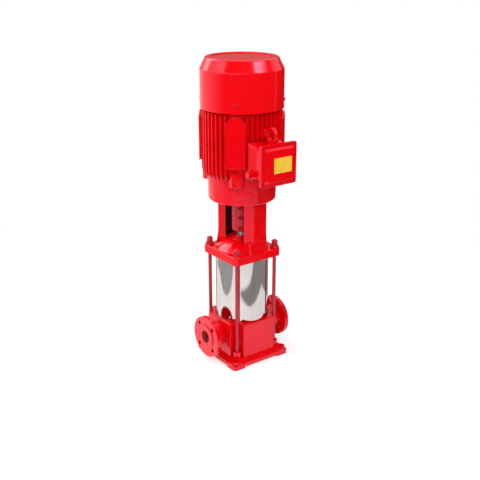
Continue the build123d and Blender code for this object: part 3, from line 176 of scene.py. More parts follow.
def two_tones(tree, pattern, dark, light, low=0.3, high=0.7):
    """Colour that goes from dark to light as a pattern goes from low to high."""
    share = node(tree, "ShaderNodeMapRange", {"Value": pattern, "From Min": low, "From Max": high})
    return node(tree, "ShaderNodeMix", {"Factor": share, 6: dark, 7: light}, data_type="RGBA").outputs[2]


def inside_bore(tree, place, along, start, radius):
    """1 within radius of the line that runs from start the given way, and 0 elsewhere."""
    moved = node(tree, "ShaderNodeVectorMath", {0: place, 1: start}, operation="SUBTRACT")
    across = tuple(0.0 if part else 1.0 for part in along)
    flat = node(tree, "ShaderNodeVectorMath", {0: moved, 1: across}, operation="MULTIPLY")
    far = node(tree, "ShaderNodeVectorMath", {0: flat}, operation="LENGTH").outputs["Value"]
    ahead = node(tree, "ShaderNodeVectorMath", {0: moved, 1: along}, operation="DOT_PRODUCT").outputs["Value"]
    near = node(tree, "ShaderNodeMath", {0: far, 1: radius}, operation="LESS_THAN")
    past = node(tree, "ShaderNodeMath", {0: ahead, 1: 0.0}, operation="GREATER_THAN")
    return node(tree, "ShaderNodeMath", {0: near, 1: past}, operation="MULTIPLY")


# Materials


def enamelled_cast_iron(name, paint, bores=(), inside=None):
    """Gloss alkyd enamel sprayed on sand-cast iron.

    The paint levels over the sand grain: soft orange peel, wavy highlights and rounded edges, and painted
    shade darkens the corners. Inside the bores given the casting shows the pair of tones given instead,
    matt and rough.
    """
    material, tree, surface, place = new_material(name, IOR=1.5, Specular_Tint=paint.gloss_tint)
    cloud = node(tree, "ShaderNodeTexNoise", {"Vector": place, "Scale": per_mm(70), "Detail": 3.0})
    red = two_tones(tree, cloud, paint.red_deep, paint.red)
    # Painted shade: ambient occlusion darkens corners and crevices towards the corner shade colour.
    clear = node(tree, "ShaderNodeAmbientOcclusion", {"Distance": 0.010}, samples=6).outputs["AO"]
    shaded = node(tree, "ShaderNodeMapRange", {"Value": clear, "To Min": 0.55, "To Max": 0.0})
    colour = node(tree, "ShaderNodeMix", {"Factor": shaded, 6: red, 7: paint.red_corner_shade},
                  data_type="RGBA").outputs[2]
    peel = node(tree, "ShaderNodeTexNoise", {"Vector": place, "Scale": per_mm(3.2), "Detail": 2.0})
    swell = node(tree, "ShaderNodeTexNoise", {"Vector": place, "Scale": per_mm(26), "Detail": 1.0})
    roughness = node(tree, "ShaderNodeMapRange", {"Value": peel, "To Min": paint.enamel_roughness * 0.75,
                                                  "To Max": paint.enamel_roughness * 1.3})
    edge = node(tree, "ShaderNodeBevel", {"Radius": 0.0014}, samples=4)
    wavy = node(tree, "ShaderNodeBump", {"Height": swell, "Distance": 0.0007, "Normal": edge})
    normal = node(tree, "ShaderNodeBump", {"Height": peel, "Distance": 0.00007, "Normal": wavy})
    if bores:
        bare = inside_bore(tree, place, *bores[0])
        for bore in bores[1:]:
            bare = node(tree, "ShaderNodeMath", {0: bare, 1: inside_bore(tree, place, *bore)},
                        operation="MAXIMUM")
        blotch = node(tree, "ShaderNodeTexNoise", {"Vector": place, "Scale": per_mm(7), "Detail": 5.0})
        sand = node(tree, "ShaderNodeTexNoise", {"Vector": place, "Scale": per_mm(1.4), "Detail": 3.0})
        rust = two_tones(tree, blotch, *inside, low=0.35, high=0.62)
        colour = node(tree, "ShaderNodeMix", {"Factor": bare, 6: colour, 7: rust},
                      data_type="RGBA").outputs[2]
        roughness = node(tree, "ShaderNodeMix", {"Factor": bare, 2: roughness, 3: 0.75})
        height = node(tree, "ShaderNodeMix", {"Factor": bare, 2: 0.5, 3: sand})
        normal = node(tree, "ShaderNodeBump", {"Height": height, "Distance": 0.0004, "Normal": normal})
    cover(tree, surface, colour, roughness, normal)
    return material


def enamelled_sheet_steel(paint):
    """The same enamel on deep-drawn sheet steel: flatter, with a finer orange peel and softer highlights."""
    material, tree, surface, place = new_material("gloss_enamel_on_drawn_sheet_steel", IOR=1.5,
                                                  Specular_Tint=paint.gloss_tint)
    cloud = node(tree, "ShaderNodeTexNoise", {"Vector": place, "Scale": per_mm(110), "Detail": 2.0})
    red = two_tones(tree, cloud, paint.red_deep, paint.red, low=0.2, high=0.6)
    peel = node(tree, "ShaderNodeTexNoise", {"Vector": place, "Scale": per_mm(2.6), "Detail": 2.0})
    swell = node(tree, "ShaderNodeTexNoise", {"Vector": place, "Scale": per_mm(55), "Detail": 1.0})
    gloss = node(tree, "ShaderNodeMapRange", {"Value": peel, "To Min": paint.enamel_roughness,
                                              "To Max": paint.enamel_roughness * 1.8})
    edge = node(tree, "ShaderNodeBevel", {"Radius": 0.0010}, samples=4)
    wavy = node(tree, "ShaderNodeBump", {"Height": swell, "Distance": 0.0012, "Normal": edge})
    fine = node(tree, "ShaderNodeBump", {"Height": peel, "Distance": 0.00004, "Normal": wavy})
    cover(tree, surface, red, gloss, fine)
    return material


def enamelled_bar_steel(paint):
    """Thin enamel over turned bar and hexagon steel: faint turning lines, rounded edges and paler blotches.
    """
    material, tree, surface, place = new_material("thin_enamel_on_turned_steel", IOR=1.5,
                                                  Specular_Tint=paint.gloss_tint)
    blotch = node(tree, "ShaderNodeTexNoise", {"Vector": place, "Scale": per_mm(9), "Detail": 3.0})
    red = two_tones(tree, blotch, paint.red_deep, paint.red_thin, low=0.28, high=0.62)
    squashed = node(tree, "ShaderNodeMapping", {"Vector": place, "Scale": (0.1, 0.1, 1.0)})
    lines = node(tree, "ShaderNodeTexNoise", {"Vector": squashed, "Scale": per_mm(1.2), "Detail": 2.0})
    edge = node(tree, "ShaderNodeBevel", {"Radius": 0.0008}, samples=4)
    ridge = node(tree, "ShaderNodeBump", {"Height": lines, "Distance": 0.00006, "Normal": edge})
    gloss = node(tree, "ShaderNodeMapRange", {"Value": blotch, "To Min": 0.2, "To Max": 0.36})
    cover(tree, surface, red, gloss, ridge)
    return material


def polished_stainless_tube(paint):
    """Welded stainless tube, mirror polished round its axis: clear reflections drawn out a little."""
    material, tree, surface, place = new_material("mirror_polished_stainless_tube", Metallic=1.0)
    drawn = node(tree, "ShaderNodeMapping", {"Vector": place, "Scale": (1.0, 1.0, 0.12)})
    streak = node(tree, "ShaderNodeTexNoise", {"Vector": drawn, "Scale": per_mm(9), "Detail": 3.0})
    steel = two_tones(tree, streak, paint.stainless_dark, paint.stainless, low=0.25, high=0.6)
    squashed = node(tree, "ShaderNodeMapping", {"Vector": place, "Scale": (0.04, 0.04, 1.0)})
    lines = node(tree, "ShaderNodeTexNoise", {"Vector": squashed, "Scale": per_mm(0.9), "Detail": 2.0})
    swell = node(tree, "ShaderNodeTexNoise", {"Vector": drawn, "Scale": per_mm(42), "Detail": 1.0})
    wavy = node(tree, "ShaderNodeBump", {"Height": swell, "Distance": 0.0005})
    ridge = node(tree, "ShaderNodeBump", {"Height": lines, "Distance": 0.000012, "Normal": wavy})
    gloss = node(tree, "ShaderNodeMapRange", {"Value": streak, "To Min": 0.05, "To Max": 0.09})
    cover(tree, surface, steel, gloss, ridge)
    return material


def turned_metal(name, dark, light, line, rough, relief):
    """Bare metal turned or ground about the shaft: rings line millimetres apart that spread the glints."""
    material, tree, surface, place = new_material(name, Metallic=1.0)
    squashed = node(tree, "ShaderNodeMapping", {"Vector": place, "Scale": (0.05, 0.05, 1.0)})
    lines = node(tree, "ShaderNodeTexNoise", {"Vector": squashed, "Scale": per_mm(line), "Detail": 3.0})
    stain = node(tree, "ShaderNodeTexNoise", {"Vector": place, "Scale": per_mm(12), "Detail": 3.0})
    gloss = node(tree, "ShaderNodeMapRange", {"Value": lines, "To Min": rough * 0.7, "To Max": rough * 1.3})
    ridge = node(tree, "ShaderNodeBump", {"Height": lines, "Distance": relief})
    cover(tree, surface, two_tones(tree, stain, linear(dark), linear(light)), gloss, ridge)
    return material


def grainy_solid(name, dark, light, grain, rough, relief, metallic=0.0, ior=1.5):
    """Cast, moulded, blasted or plated stuff: an even grain of its own size in colour, gloss and relief."""
    material, tree, surface, place = new_material(name, Metallic=metallic, IOR=ior)
    speck = node(tree, "ShaderNodeTexNoise", {"Vector": place, "Scale": per_mm(grain), "Detail": 3.0})
    cloud = node(tree, "ShaderNodeTexNoise", {"Vector": place, "Scale": per_mm(grain * 12), "Detail": 2.0})
    gloss = node(tree, "ShaderNodeMapRange", {"Value": speck, "To Min": rough * 0.8, "To Max": rough * 1.2})
    bump = node(tree, "ShaderNodeBump", {"Height": speck, "Distance": relief})
    cover(tree, surface, two_tones(tree, cloud, linear(dark), linear(light)), gloss, bump)
    return material


def stacked_electrical_sheet():
    """Punched sheets half a millimetre thick, drawn at 3.8 mm so that they show: dark and bright layers."""
    material, tree, surface, place = new_material("stacked_electrical_sheet", Metallic=0.6)
    layers = node(tree, "ShaderNodeTexWave", {"Vector": place, "Scale": per_mm(3.77) / AXIS_BANDS,
                                              "Distortion": 0.4}, bands_direction="Z").outputs["Fac"]
    colour = two_tones(tree, layers, linear("#2B2A2C"), linear("#6D6E72"), low=0.1, high=0.9)
    gloss = node(tree, "ShaderNodeMapRange", {"Value": layers, "To Min": 0.6, "To Max": 0.4})
    bump = node(tree, "ShaderNodeBump", {"Height": layers, "Distance": 0.0002})
    cover(tree, surface, colour, gloss, bump)
    return material


def varnished_copper_wire():
    """Wire about a millimetre thick, drawn at 3.5 mm so that it shows, in amber varnish with wet glints."""
    material, tree, surface, place = new_material("varnished_copper_wire", Metallic=0.7, Coat_Weight=0.5)
    wires = node(tree, "ShaderNodeTexWave", {"Vector": place, "Scale": per_mm(3.483) / DIAGONAL_BANDS,
                                             "Distortion": 3.0, "Detail": 2.0}, bands_direction="DIAGONAL")
    turns = wires.outputs["Fac"]
    colour = two_tones(tree, turns, linear("#5A2410"), linear("#C87A3C"), low=0.2, high=0.8)
    gloss = node(tree, "ShaderNodeMapRange", {"Value": turns, "To Min": 0.45, "To Max": 0.25})
    bump = node(tree, "ShaderNodeBump", {"Height": turns, "Distance": 0.0006})
    cover(tree, surface, colour, gloss, bump)
    return material


def yellow_foil(paint):
    """Blank self-adhesive foil label: satin print surface with a trace of unevenness under it."""
    material, tree, surface, place = new_material("yellow_polyester_foil", IOR=1.5)
    fade = node(tree, "ShaderNodeTexNoise", {"Vector": place, "Scale": per_mm(30), "Detail": 3.0})
    colour = two_tones(tree, fade, paint.label_edge, paint.label, low=0.25, high=0.55)
    bubble = node(tree, "ShaderNodeTexNoise", {"Vector": place, "Scale": per_mm(8), "Detail": 2.0})
    gloss = node(tree, "ShaderNodeMapRange", {"Value": bubble, "To Min": 0.3, "To Max": 0.45})
    bump = node(tree, "ShaderNodeBump", {"Height": bubble, "Distance": 0.0001})
    cover(tree, surface, colour, gloss, bump)
    return material


# Mesh helpers


def dress(material, *names):
    """Gives CAD nodes one material."""
    for name in names:
        slots = SOLIDS[name].data.materials
        slots.clear()
        slots.append(material)


def finish_piece(work, name, body, slot, material, *replaced):
    """Turns a bmesh into a piece that rides on a body and stands for the nodes named."""
    bmesh.ops.recalc_face_normals(work, faces=work.faces)
    mesh = bpy.data.meshes.new(name)
    work.to_mesh(mesh)
    work.free()
    piece = bpy.data.objects.new(name, mesh)
    bpy.context.scene.collection.objects.link(piece)
    mesh.materials.append(material)
    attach(piece, body)
    if replaced:
        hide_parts(*replaced)


def regular(count, radius, centre=(0.0, 0.0), turn=0.0):
    """Corners of a regular polygon."""
    return [Vector((centre[0] + radius * math.cos(turn + math.tau * i / count),
                    centre[1] + radius * math.sin(turn + math.tau * i / count))) for i in range(count)]


def inset(corners, distance):
    """A convex outline, given counterclockwise, moved inwards by distance."""
    corners = [Vector(corner) for corner in corners]
    moved = []
    for i, corner in enumerate(corners):
        sides = (corner - corners[i - 1], corners[(i + 1) % len(corners)] - corner)
        before, after = (Vector((-side.y, side.x)).normalized() for side in sides)
        moved.append(corner + (before + after) * distance / (1 + before.dot(after)))
    return moved


# Sizes and colours that a user would change


def tint(name, description, hex_colour):
    """A colour setting."""
    return bpy.props.FloatVectorProperty(name=name, description=description, subtype="COLOR", size=4,
                                         min=0.0, max=1.0, default=linear(hex_colour))


def length(name, description, least, most, default):
    """A length setting, in metres."""
    return bpy.props.FloatProperty(name=name, description=description, unit="LENGTH", min=least, max=most,
                                   default=default)


class PumpPaint(bpy.types.PropertyGroup):
    """Colours and gloss."""

    red: tint("Enamel red", "Main colour of the paint", "#F0030C")
    red_deep: tint("Enamel red, thick", "Where the paint is thicker", "#E6030B")
    # Painted shade: the colour that corners and crevices of the enamel darken to.
    red_corner_shade: tint("Enamel red, corners", "Dust and pooled paint in corners", "#8E0308")
    red_thin: tint("Enamel red, thin", "Thin paint on rods and nuts", "#A62A33")
    enamel_roughness: bpy.props.FloatProperty(
        name="Enamel roughness", description="Roughness of the gloss paint", subtype="FACTOR",
        min=0.02, max=0.8, default=0.12)
    gloss_tint: tint("Gloss tint", "Faint magenta cast of the red lacquer's shine", "#FFD6FF")
    bare_iron: tint("Bare iron", "Unpainted casting inside the bores", "#8A2A22")
    rust: tint("Rust", "Flash rust inside the bores", "#C0442F")
    # Painted shade: two near-black tones for the inside of the stool, where the motor above shades it.
    inner_shade: tint("Primer", "Matt primer inside the stool", "#300406")
    inner_shade_dark: tint("Primer, dusty", "Sooty patches of the primer", "#1C0304")
    stainless: tint("Stainless", "Polished sleeve", "#C6C1BE")
    stainless_dark: tint("Stainless streaks", "Dull streaks of the sleeve", "#BBB6B3")
    label: tint("Label", "Blank label on the terminal box lid", "#F7C83C")
    label_edge: tint("Label, faded", "Faded patches of the label", "#EDB92F")


class PumpSizes(bpy.types.PropertyGroup):
    """Sizes of the fine pieces."""

    pad_border: length("Pad border", "Width of the border at its foot", 0.002, 0.01, 0.004)
    pad_rise: length("Pad border height", "Above the pad's face", 0.0005, 0.004, 0.0015)
    grille_pitch: length("Grille pitch", "Distance between the middles of holes", 0.004, 0.03, 0.0082)
    grille_hole: length("Grille hole", "Width of one hole's outline over its corners", 0.002, 0.028, 0.0068)
    grille_rim: length("Grille rim", "Width of the plain rim and of the plain centre", 0.002, 0.03, 0.009)


class PumpStage(bpy.types.PropertyGroup):
    """Camera, floor and light."""

    camera_place: bpy.props.FloatVectorProperty(
        name="Camera", description="Place of the camera", subtype="TRANSLATION", unit="LENGTH",
        default=(-1.7236, -2.3226, 1.5406))
    camera_turn: bpy.props.FloatProperty(
        name="Camera turn", description="Turn about the vertical", subtype="ANGLE",
        default=math.radians(-36.58))
    camera_down: bpy.props.FloatProperty(
        name="Camera pitch", description="Angle below the horizon", subtype="ANGLE",
        default=math.radians(20.15))
    camera_shift: bpy.props.FloatProperty(
        name="Camera shift", description="Sideways shift, in widths of the picture", min=-0.05, max=0.05,
        default=-0.0041)
    lens: bpy.props.FloatProperty(
        name="Lens", description="Focal length in millimetres on a 36 mm sensor", min=10.0, max=300.0,
        default=59.1)
    floor_half: length("Floor", "Half the side of the floor", 2.0, 100.0, 30.0)
    floor_fade: length("Floor fade", "How far out the paper starts to fade into the white", 0.1, 5.0, 0.7)
    floor_end: length("Floor end", "How far out the paper has faded", 0.2, 10.0, 1.9)
    light_distance: length("Light distance", "From the shaft to each soft box", 1.0, 10.0, 2.05)
    aim_height: length("Aim height", "Where on the shaft the soft boxes point", 0.0, 2.0, 1.0)
    key_power: bpy.props.FloatProperty(
        name="Key power", description="Watts, of which each soft box takes its share", unit="POWER", min=0.0,
        max=2000.0, default=30.0)
    sky_light: bpy.props.FloatProperty(
        name="Sky light", description="Strength of the sky as light", min=0.0, max=5.0, default=0.5)


# Operators


class PUMP_OT_castings(bpy.types.Operator):
    """Paint the iron castings, bare inside their bores, with painted shade inside the stool"""

    bl_idname = "pump.castings"
    bl_label = "Castings"

    def execute(self, context):
        paint = context.scene.pump_paint
        bare = (paint.bare_iron, paint.rust)
        wet = [((1, 0, 0), (-1, 0, PORT_HEIGHT), PORT_RADIUS), ((0, 0, 1), (0, 0, 0), HYDRAULICS_RADIUS)]
        dress(enamelled_cast_iron("gloss_enamel_on_cast_iron_base", paint, wet, bare), "pump_base")
        dry = [((0, 0, 1), (0, 0, 0), FRAME_BORE_RADIUS)]
        dress(enamelled_cast_iron("gloss_enamel_on_cast_iron_motor", paint, dry, bare), "motor_frame")
        # Painted shade: inside the stool, above the deck, two near-black tones stand for the shade under the
        # motor.
        shaded_inside = [((0, 0, 1), (0, 0, DECK_HEIGHT), STOOL_BORE_RADIUS)]
        painted_shade = (paint.inner_shade_dark, paint.inner_shade)
        dress(enamelled_cast_iron("gloss_enamel_with_painted_shade_on_cast_iron_stool", paint, shaded_inside, painted_shade), "motor_stool")
        dress(enamelled_cast_iron("gloss_enamel_on_cast_iron", paint), "drive_end_shield", "rear_end_shield",
              "terminal_box", "terminal_box_lid", "lifting_eye", "entry_plug", "seal_gland")
        return {"FINISHED"}


class PUMP_OT_cowl(bpy.types.Operator):
    """Paint the fan cowl and fit the disc of its grille"""

    bl_idname = "pump.cowl"
    bl_label = "Cowl and grille"

    def execute(self, context):
        sheet = enamelled_sheet_steel(context.scene.pump_paint)
        dress(sheet, "fan_cowl")
        sizes = context.scene.pump_sizes
        low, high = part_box("fan_grille")
        radius = (high.x - low.x) / 2
        reach = radius - sizes.grille_rim
        pitch, hole = sizes.grille_pitch, sizes.grille_hole / 2
        points = regular(DISC_CORNERS, radius)
        loops = [list(range(DISC_CORNERS))]
        rows = int(reach / pitch) + 2
        for i in range(-2 * rows, 2 * rows + 1):
            for j in range(-rows, rows + 1):
                centre = (pitch * (i + (j % 2) / 2), pitch * j * math.sqrt(3) / 2)
                if sizes.grille_rim < math.hypot(*centre) < reach - hole:
                    loops.append(list(range(len(points), len(points) + HOLE_CORNERS)))
                    points += regular(HOLE_CORNERS, hole, centre, math.pi / HOLE_CORNERS)
        loops.append(list(range(len(points), len(points) + CENTRE_CORNERS)))
        points += regular(CENTRE_CORNERS, CENTRE_RADIUS)
        edges = [(a, b) for loop in loops for a, b in zip(loop, loop[1:] + loop[:1])]
        # The holes are outlines in the disc's mesh. The faces within them are kept, so they aren't open.
        flat, _, faces, _, _, _ = delaunay_2d_cdt(points, edges, [], ALL_VALID_FACES, MERGE_DISTANCE)
        work = bmesh.new()
        top = [work.verts.new((p.x, p.y, high.z)) for p in flat]
        for corners in faces:
            work.faces.new([top[i] for i in corners])
        solid = bmesh.ops.extrude_face_region(work, geom=list(work.faces))
        moved = [v for v in solid["geom"] if isinstance(v, bmesh.types.BMVert)]
        bmesh.ops.translate(work, verts=moved, vec=(0, 0, low.z - high.z))
        finish_piece(work, "grille_perforated_disc", "pump_and_motor", "red_enamel", sheet, "fan_grille")
        return {"FINISHED"}


class PUMP_OT_pad_borders(bpy.types.Operator):
    """Raise the cast border round each pad of the motor frame"""

    bl_idname = "pump.pad_borders"
    bl_label = "Pad borders"

    def execute(self, context):
        sizes = context.scene.pump_sizes
        foot, crest = PAD_FACE - PAD_SINK, PAD_FACE + sizes.pad_rise
        # The border's section, from its outer foot over its crest to its inner foot.
        section = ((0.0, foot), (PAD_OUTER_SLOPE, crest), (sizes.pad_border - PAD_INNER_SLOPE, crest),
                   (sizes.pad_border, foot))
        work = bmesh.new()
        for turn in PAD_TURNS:
            out = Vector((math.cos(math.radians(turn)), math.sin(math.radians(turn)), 0))
            across = Vector((-out.y, out.x, 0))
            rings = [[work.verts.new(out * reach + across * p.x + UP * p.y)
                      for p in inset(PAD_OUTLINE, inwards)] for inwards, reach in section]
            for ring, following in zip(rings, rings[1:] + rings[:1]):
                for i in range(len(ring)):
                    work.faces.new((ring[i - 1], ring[i], following[i], following[i - 1]))
        material = enamelled_cast_iron("gloss_enamel_on_cast_iron_pads", context.scene.pump_paint)
        finish_piece(work, "motor_pad_borders", "pump_and_motor", "red_enamel", material)
        return {"FINISHED"}


class PUMP_OT_hardware(bpy.types.Operator):
    """Finish rods, nuts, screws, plugs and the coupling"""

    bl_idname = "pump.hardware"
    bl_label = "Rods, nuts and screws"

    def execute(self, context):
        dress(enamelled_bar_steel(context.scene.pump_paint), "tie_rods", "tie_rod_nuts", "shield_bolts",
              "flange_bolts", "drain_plug", "vent_plug", "gland_screws", "cowl_screws", "coupling_bolts",
              "lid_screws", "coupling_half_front", "coupling_half_rear")
        # Bright zinc plating: fine matt crystals with a faint blue cast.
        dress(grainy_solid("zinc_plated_steel", "#8E949A", "#C3C6C8", grain=0.4, rough=0.35,
                           relief=0.00002, metallic=1.0),
              "rear_shield_screws", "box_screws")
        return {"FINISHED"}


class PUMP_OT_sleeve(bpy.types.Operator):
    """Polish the stainless sleeve and finish its rings"""

    bl_idname = "pump.sleeve"
    bl_label = "Sleeve"

    def execute(self, context):
        dress(polished_stainless_tube(context.scene.pump_paint), "outer_sleeve")
        # Moulded nitrile rubber: matt black with a fine mould grain.
        dress(grainy_solid("moulded_nitrile_rubber", "#141414", "#242424", grain=0.8, rough=0.7,
                           relief=0.00003),
              "sleeve_seals", "neck_gasket", "lid_gasket")
        return {"FINISHED"}


class PUMP_OT_hydraulics(bpy.types.Operator):
    """Finish the stages, the shaft seal and the pump shaft"""

    bl_idname = "pump.hydraulics"
    bl_label = "Stages and seal"

    def execute(self, context):
        stages = [name for name in SOLIDS if name.startswith(("stage_chamber", "impeller"))]
        # Pressed sheet as rolled: satin grey with a fine rolled grain.
        dress(grainy_solid("pressed_stainless_sheet", "#8F8F8E", "#BDBDBB", grain=0.6, rough=0.3,
                           relief=0.00002, metallic=1.0),
              "discharge_cap", *stages)
        # Cast stainless, bead blasted: dull silver with round dimples.
        dress(grainy_solid("blasted_cast_stainless", "#8A8986", "#B3B1AD", grain=1.1, rough=0.5,
                           relief=0.0001, metallic=1.0),
              "suction_guide", "seal_head")
        # Lapped carbon: soft graphite black.
        dress(grainy_solid("lapped_carbon", "#1B1B1D", "#2E2E31", grain=0.5, rough=0.35,
                           relief=0.00001, metallic=0.0, ior=1.7),
              "seal_seat", "lower_bush")
        dress(turned_metal("ground_shaft_steel", "#8B8985", "#BFBDB9", line=0.8, rough=0.25,
                           relief=0.00002),
              "pump_shaft", "motor_shaft", "seal_collar")
        return {"FINISHED"}


class PUMP_OT_motor_inside(bpy.types.Operator):
    """Finish what stands inside the motor"""

    bl_idname = "pump.motor_inside"
    bl_label = "Motor inside"

    def execute(self, context):
        dress(stacked_electrical_sheet(), "stator_core", "rotor_core")
        dress(varnished_copper_wire(), "stator_windings")
        bearings = [name for name in SOLIDS if "_bearing_" in name]
        dress(turned_metal("ground_bearing_steel", "#A8A9AA", "#D5D6D6", line=0.5, rough=0.15,
                           relief=0.00001),
              *bearings)
        # Die-cast aluminium: pale, slightly porous skin.
        dress(grainy_solid("die_cast_aluminium", "#9DA0A2", "#C9CBCC", grain=1.5, rough=0.45,
                           relief=0.00008, metallic=1.0),
              "rotor_end_rings")
        # Moulded polypropylene: black with a soft satin mould texture.
        dress(grainy_solid("moulded_polypropylene", "#16171A", "#26272B", grain=0.9, rough=0.45,
                           relief=0.00004),
              "cooling_fan")
        return {"FINISHED"}


class PUMP_OT_terminals(bpy.types.Operator):
    """Finish the terminal board, its studs and the blank label"""

    bl_idname = "pump.terminals"
    bl_label = "Terminals and label"

    def execute(self, context):
        # Compression-moulded phenolic: brown-black, half gloss, faint filler specks.
        dress(grainy_solid("moulded_phenolic", "#1D1713", "#33281F", grain=0.7, rough=0.4,
                           relief=0.00003),
              "terminal_board")
        # Bar-turned brass: warm, slightly tarnished.
        dress(grainy_solid("turned_brass", "#A67C34", "#D9B765", grain=0.8, rough=0.28,
                           relief=0.00002, metallic=1.0),
              "terminal_studs")
        dress(yellow_foil(context.scene.pump_paint), "lid_label")
        return {"FINISHED"}


class PUMP_OT_stage(bpy.types.Operator):
    """Set the floor, the light and the camera"""

    bl_idname = "pump.stage"
    bl_label = "Stage"

    def execute(self, context):
        scene, stage = context.scene, context.scene.pump_stage
        self.world(scene, stage)
        self.floor(stage)
        facing = math.atan2(stage.camera_place[1], stage.camera_place[0])
        for name, turn, height, width, depth, power, shiny in SOFT_BOXES:
            self.soft_box(stage, name, facing + math.radians(turn), height, width, depth, power, shiny)
        for name, first, last, near, far, tones in CARDS:
            self.card(name, facing + math.radians(first), facing + math.radians(last), near, far, tones)
        for name, tone, outline in FLOOR_SHADES:
            self.floor_shade(name, facing, outline, tone)
        camera = bpy.data.objects.new("camera", bpy.data.cameras.new("camera"))
        scene.collection.objects.link(camera)
        camera.location = stage.camera_place
        camera.rotation_euler = (math.pi / 2 - stage.camera_down, 0, stage.camera_turn)
        camera.data.lens, camera.data.sensor_width = stage.lens, SENSOR_WIDTH
        camera.data.shift_x = stage.camera_shift
        scene.camera = camera
        scene.view_settings.view_transform = "Standard"
        return {"FINISHED"}

    def world(self, scene, stage):
        """White behind the object and in its reflections, and a weaker sky for the light itself."""
        scene.world = bpy.data.worlds.new("studio")
        scene.world.use_nodes = True
        # Only scattered rays find the sky, so a card that stands before it does hide it from the shiny paint.
        scene.world.cycles.sampling_method = "NONE"
        tree = scene.world.node_tree
        tree.nodes.clear()
        seen = self.seen(tree)
        strength = node(tree, "ShaderNodeMapRange", {"Value": seen, "To Min": stage.sky_light, "To Max": 1.0})
        sky = node(tree, "ShaderNodeBackground", {"Color": linear("#FFFFFF"), "Strength": strength})
        node(tree, "ShaderNodeOutputWorld", {"Surface": sky})

    def seen(self, tree):
        """1 for rays from the camera and for reflected and refracted ones."""
        path = node(tree, "ShaderNodeLightPath").outputs
        shiny = node(tree, "ShaderNodeMath", {0: path["Is Glossy Ray"], 1: path["Is Transmission Ray"]},
                     operation="MAXIMUM")
        return node(tree, "ShaderNodeMath", {0: path["Is Camera Ray"], 1: shiny}, operation="MAXIMUM")

    def floor(self, stage):
        """Matt white paper that keeps the object's shadow and otherwise meets the white behind it."""
        mesh = bpy.data.meshes.new("paper_floor")
        half = stage.floor_half
        corners = [(-half, -half, 0), (half, -half, 0), (half, half, 0), (-half, half, 0)]
        mesh.from_pydata(corners, [], [(0, 1, 2, 3)])
        paper = bpy.data.objects.new("paper_floor", mesh)
        bpy.context.scene.collection.objects.link(paper)
        material, tree, surface, place = new_material("matt_white_paper", Roughness=0.9,
                                                      Specular_IOR_Level=0.1, Emission_Color=(1, 1, 1, 1))
        pulp = node(tree, "ShaderNodeTexNoise", {"Vector": place, "Scale": per_mm(3), "Detail": 2.0})
        tone = two_tones(tree, pulp, linear("#EFEFEF"), linear("#F4F4F4"))
        tree.links.new(tone, surface.inputs["Base Color"])
        glow = node(tree, "ShaderNodeMapRange", {"Value": self.seen(tree), "To Min": 0.0, "To Max": 0.3})
        tree.links.new(glow.outputs["Result"], surface.inputs["Emission Strength"])
        far = node(tree, "ShaderNodeVectorMath", {0: place}, operation="LENGTH").outputs["Value"]
        fade = node(tree, "ShaderNodeMapRange",
                    {"Value": far, "From Min": stage.floor_fade, "From Max": stage.floor_end},
                    interpolation_type="SMOOTHERSTEP")
        clear = node(tree, "ShaderNodeBsdfTransparent")
        whole = node(tree, "ShaderNodeMixShader", {0: fade, 1: surface, 2: clear})
        last = tree.nodes["Material Output"]
        tree.links.new(whole.outputs["Shader"], last.inputs["Surface"])
        mesh.materials.append(material)

    def soft_box(self, stage, name, turn, height, width, depth, power, shiny):
        """A large area lamp standing round the object, aimed at the motor."""
        lamp = bpy.data.lights.new(name, "AREA")
        lamp.shape, lamp.size, lamp.size_y = "RECTANGLE", width, depth
        lamp.energy = stage.key_power * power
        box = bpy.data.objects.new(name, lamp)
        bpy.context.scene.collection.objects.link(box)
        box.location = (stage.light_distance * math.cos(turn), stage.light_distance * math.sin(turn), height)
        aim = Vector((0, 0, stage.aim_height)) - Vector(box.location)
        box.rotation_euler = aim.to_track_quat("-Z", "Y").to_euler()
        box.visible_camera = False
        box.visible_glossy = shiny

    def card(self, name, first, last, near, far, tones):
        """A card swept about the shaft from a line between two (radius, height) points, its tone changing."""
        corners, shades = [], []
        for i in range(CARD_STEPS + 1):
            turn = first + (last - first) * i / CARD_STEPS
            shade = Vector(linear(tones[0])).lerp(Vector(linear(tones[1])), i / CARD_STEPS)
            for reach, z in (near, far):
                corners.append((reach * math.cos(turn), reach * math.sin(turn), z))
                shades.append(shade)
        faces = [(2 * i, 2 * i + 2, 2 * i + 3, 2 * i + 1) for i in range(CARD_STEPS)]
        self.hang(name, corners, faces, shades)

    def floor_shade(self, name, facing, outline, tone):
        """A flat shape lying on the floor, given by (degrees, metres) points round the shaft."""
        corners = []
        for turn, reach in outline:
            angle = facing + math.radians(turn)
            corners.append((reach * math.cos(angle), reach * math.sin(angle), FLOOR_SHADE_HEIGHT))
        self.hang(name, corners, [tuple(range(len(corners)))], [linear(tone)] * len(corners))

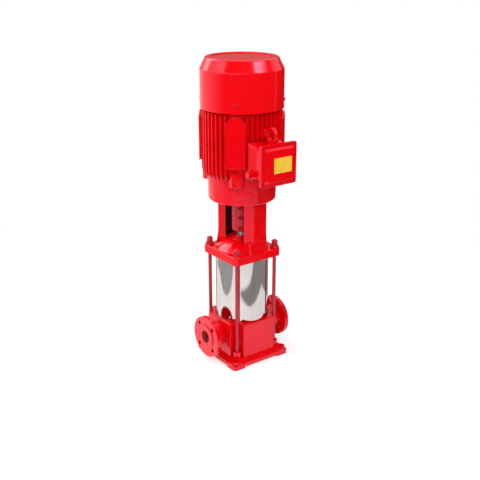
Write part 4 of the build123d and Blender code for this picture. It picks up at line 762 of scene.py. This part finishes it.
    def hang(self, name, corners, faces, shades):
        """Makes a glowing mesh that only reflections see, as a studio hangs cards round shiny goods."""
        mesh = bpy.data.meshes.new(name)
        mesh.from_pydata(corners, [], faces)
        tone = mesh.color_attributes.new("tone", "FLOAT_COLOR", "POINT")
        for point, shade in zip(tone.data, shades):
            point.color = shade
        card = bpy.data.objects.new(name, mesh)
        bpy.context.scene.collection.objects.link(card)
        material = bpy.data.materials.new(name)
        material.use_nodes = True
        tree = material.node_tree
        tree.nodes.clear()
        stored = node(tree, "ShaderNodeVertexColor", layer_name="tone").outputs["Color"]
        glow = node(tree, "ShaderNodeEmission", {"Color": stored, "Strength": 1.0})
        node(tree, "ShaderNodeOutputMaterial", {"Surface": glow})
        mesh.materials.append(material)
        card.visible_camera = card.visible_diffuse = card.visible_shadow = card.visible_transmission = False


class PUMP_PT_panel(bpy.types.Panel):
    """Lists the steps and their settings"""

    bl_idname = "PUMP_PT_panel"
    bl_label = "Vertical pump"
    bl_space_type = "VIEW_3D"
    bl_region_type = "UI"
    bl_category = "Pump"

    def draw(self, context):
        for step in OPERATORS:
            self.layout.operator(step.bl_idname)
        for group in (context.scene.pump_paint, context.scene.pump_sizes, context.scene.pump_stage):
            for name in group.__annotations__:
                self.layout.prop(group, name)


OPERATORS = (
    PUMP_OT_castings,
    PUMP_OT_cowl,
    PUMP_OT_pad_borders,
    PUMP_OT_hardware,
    PUMP_OT_sleeve,
    PUMP_OT_hydraulics,
    PUMP_OT_motor_inside,
    PUMP_OT_terminals,
    PUMP_OT_stage,
)
CLASSES = (PumpPaint, PumpSizes, PumpStage, *OPERATORS, PUMP_PT_panel)


def register():
    for each in CLASSES:
        bpy.utils.register_class(each)
    bpy.types.Scene.pump_paint = bpy.props.PointerProperty(type=PumpPaint)
    bpy.types.Scene.pump_sizes = bpy.props.PointerProperty(type=PumpSizes)
    bpy.types.Scene.pump_stage = bpy.props.PointerProperty(type=PumpStage)


def unregister():
    del bpy.types.Scene.pump_stage
    del bpy.types.Scene.pump_sizes
    del bpy.types.Scene.pump_paint
    for each in reversed(CLASSES):
        bpy.utils.unregister_class(each)


def main():
    register()
    bpy.ops.pump.castings()
    bpy.ops.pump.cowl()
    bpy.ops.pump.pad_borders()
    bpy.ops.pump.hardware()
    bpy.ops.pump.sleeve()
    bpy.ops.pump.hydraulics()
    bpy.ops.pump.motor_inside()
    bpy.ops.pump.terminals()
    bpy.ops.pump.stage()


if __name__ == "__main__":
    main()
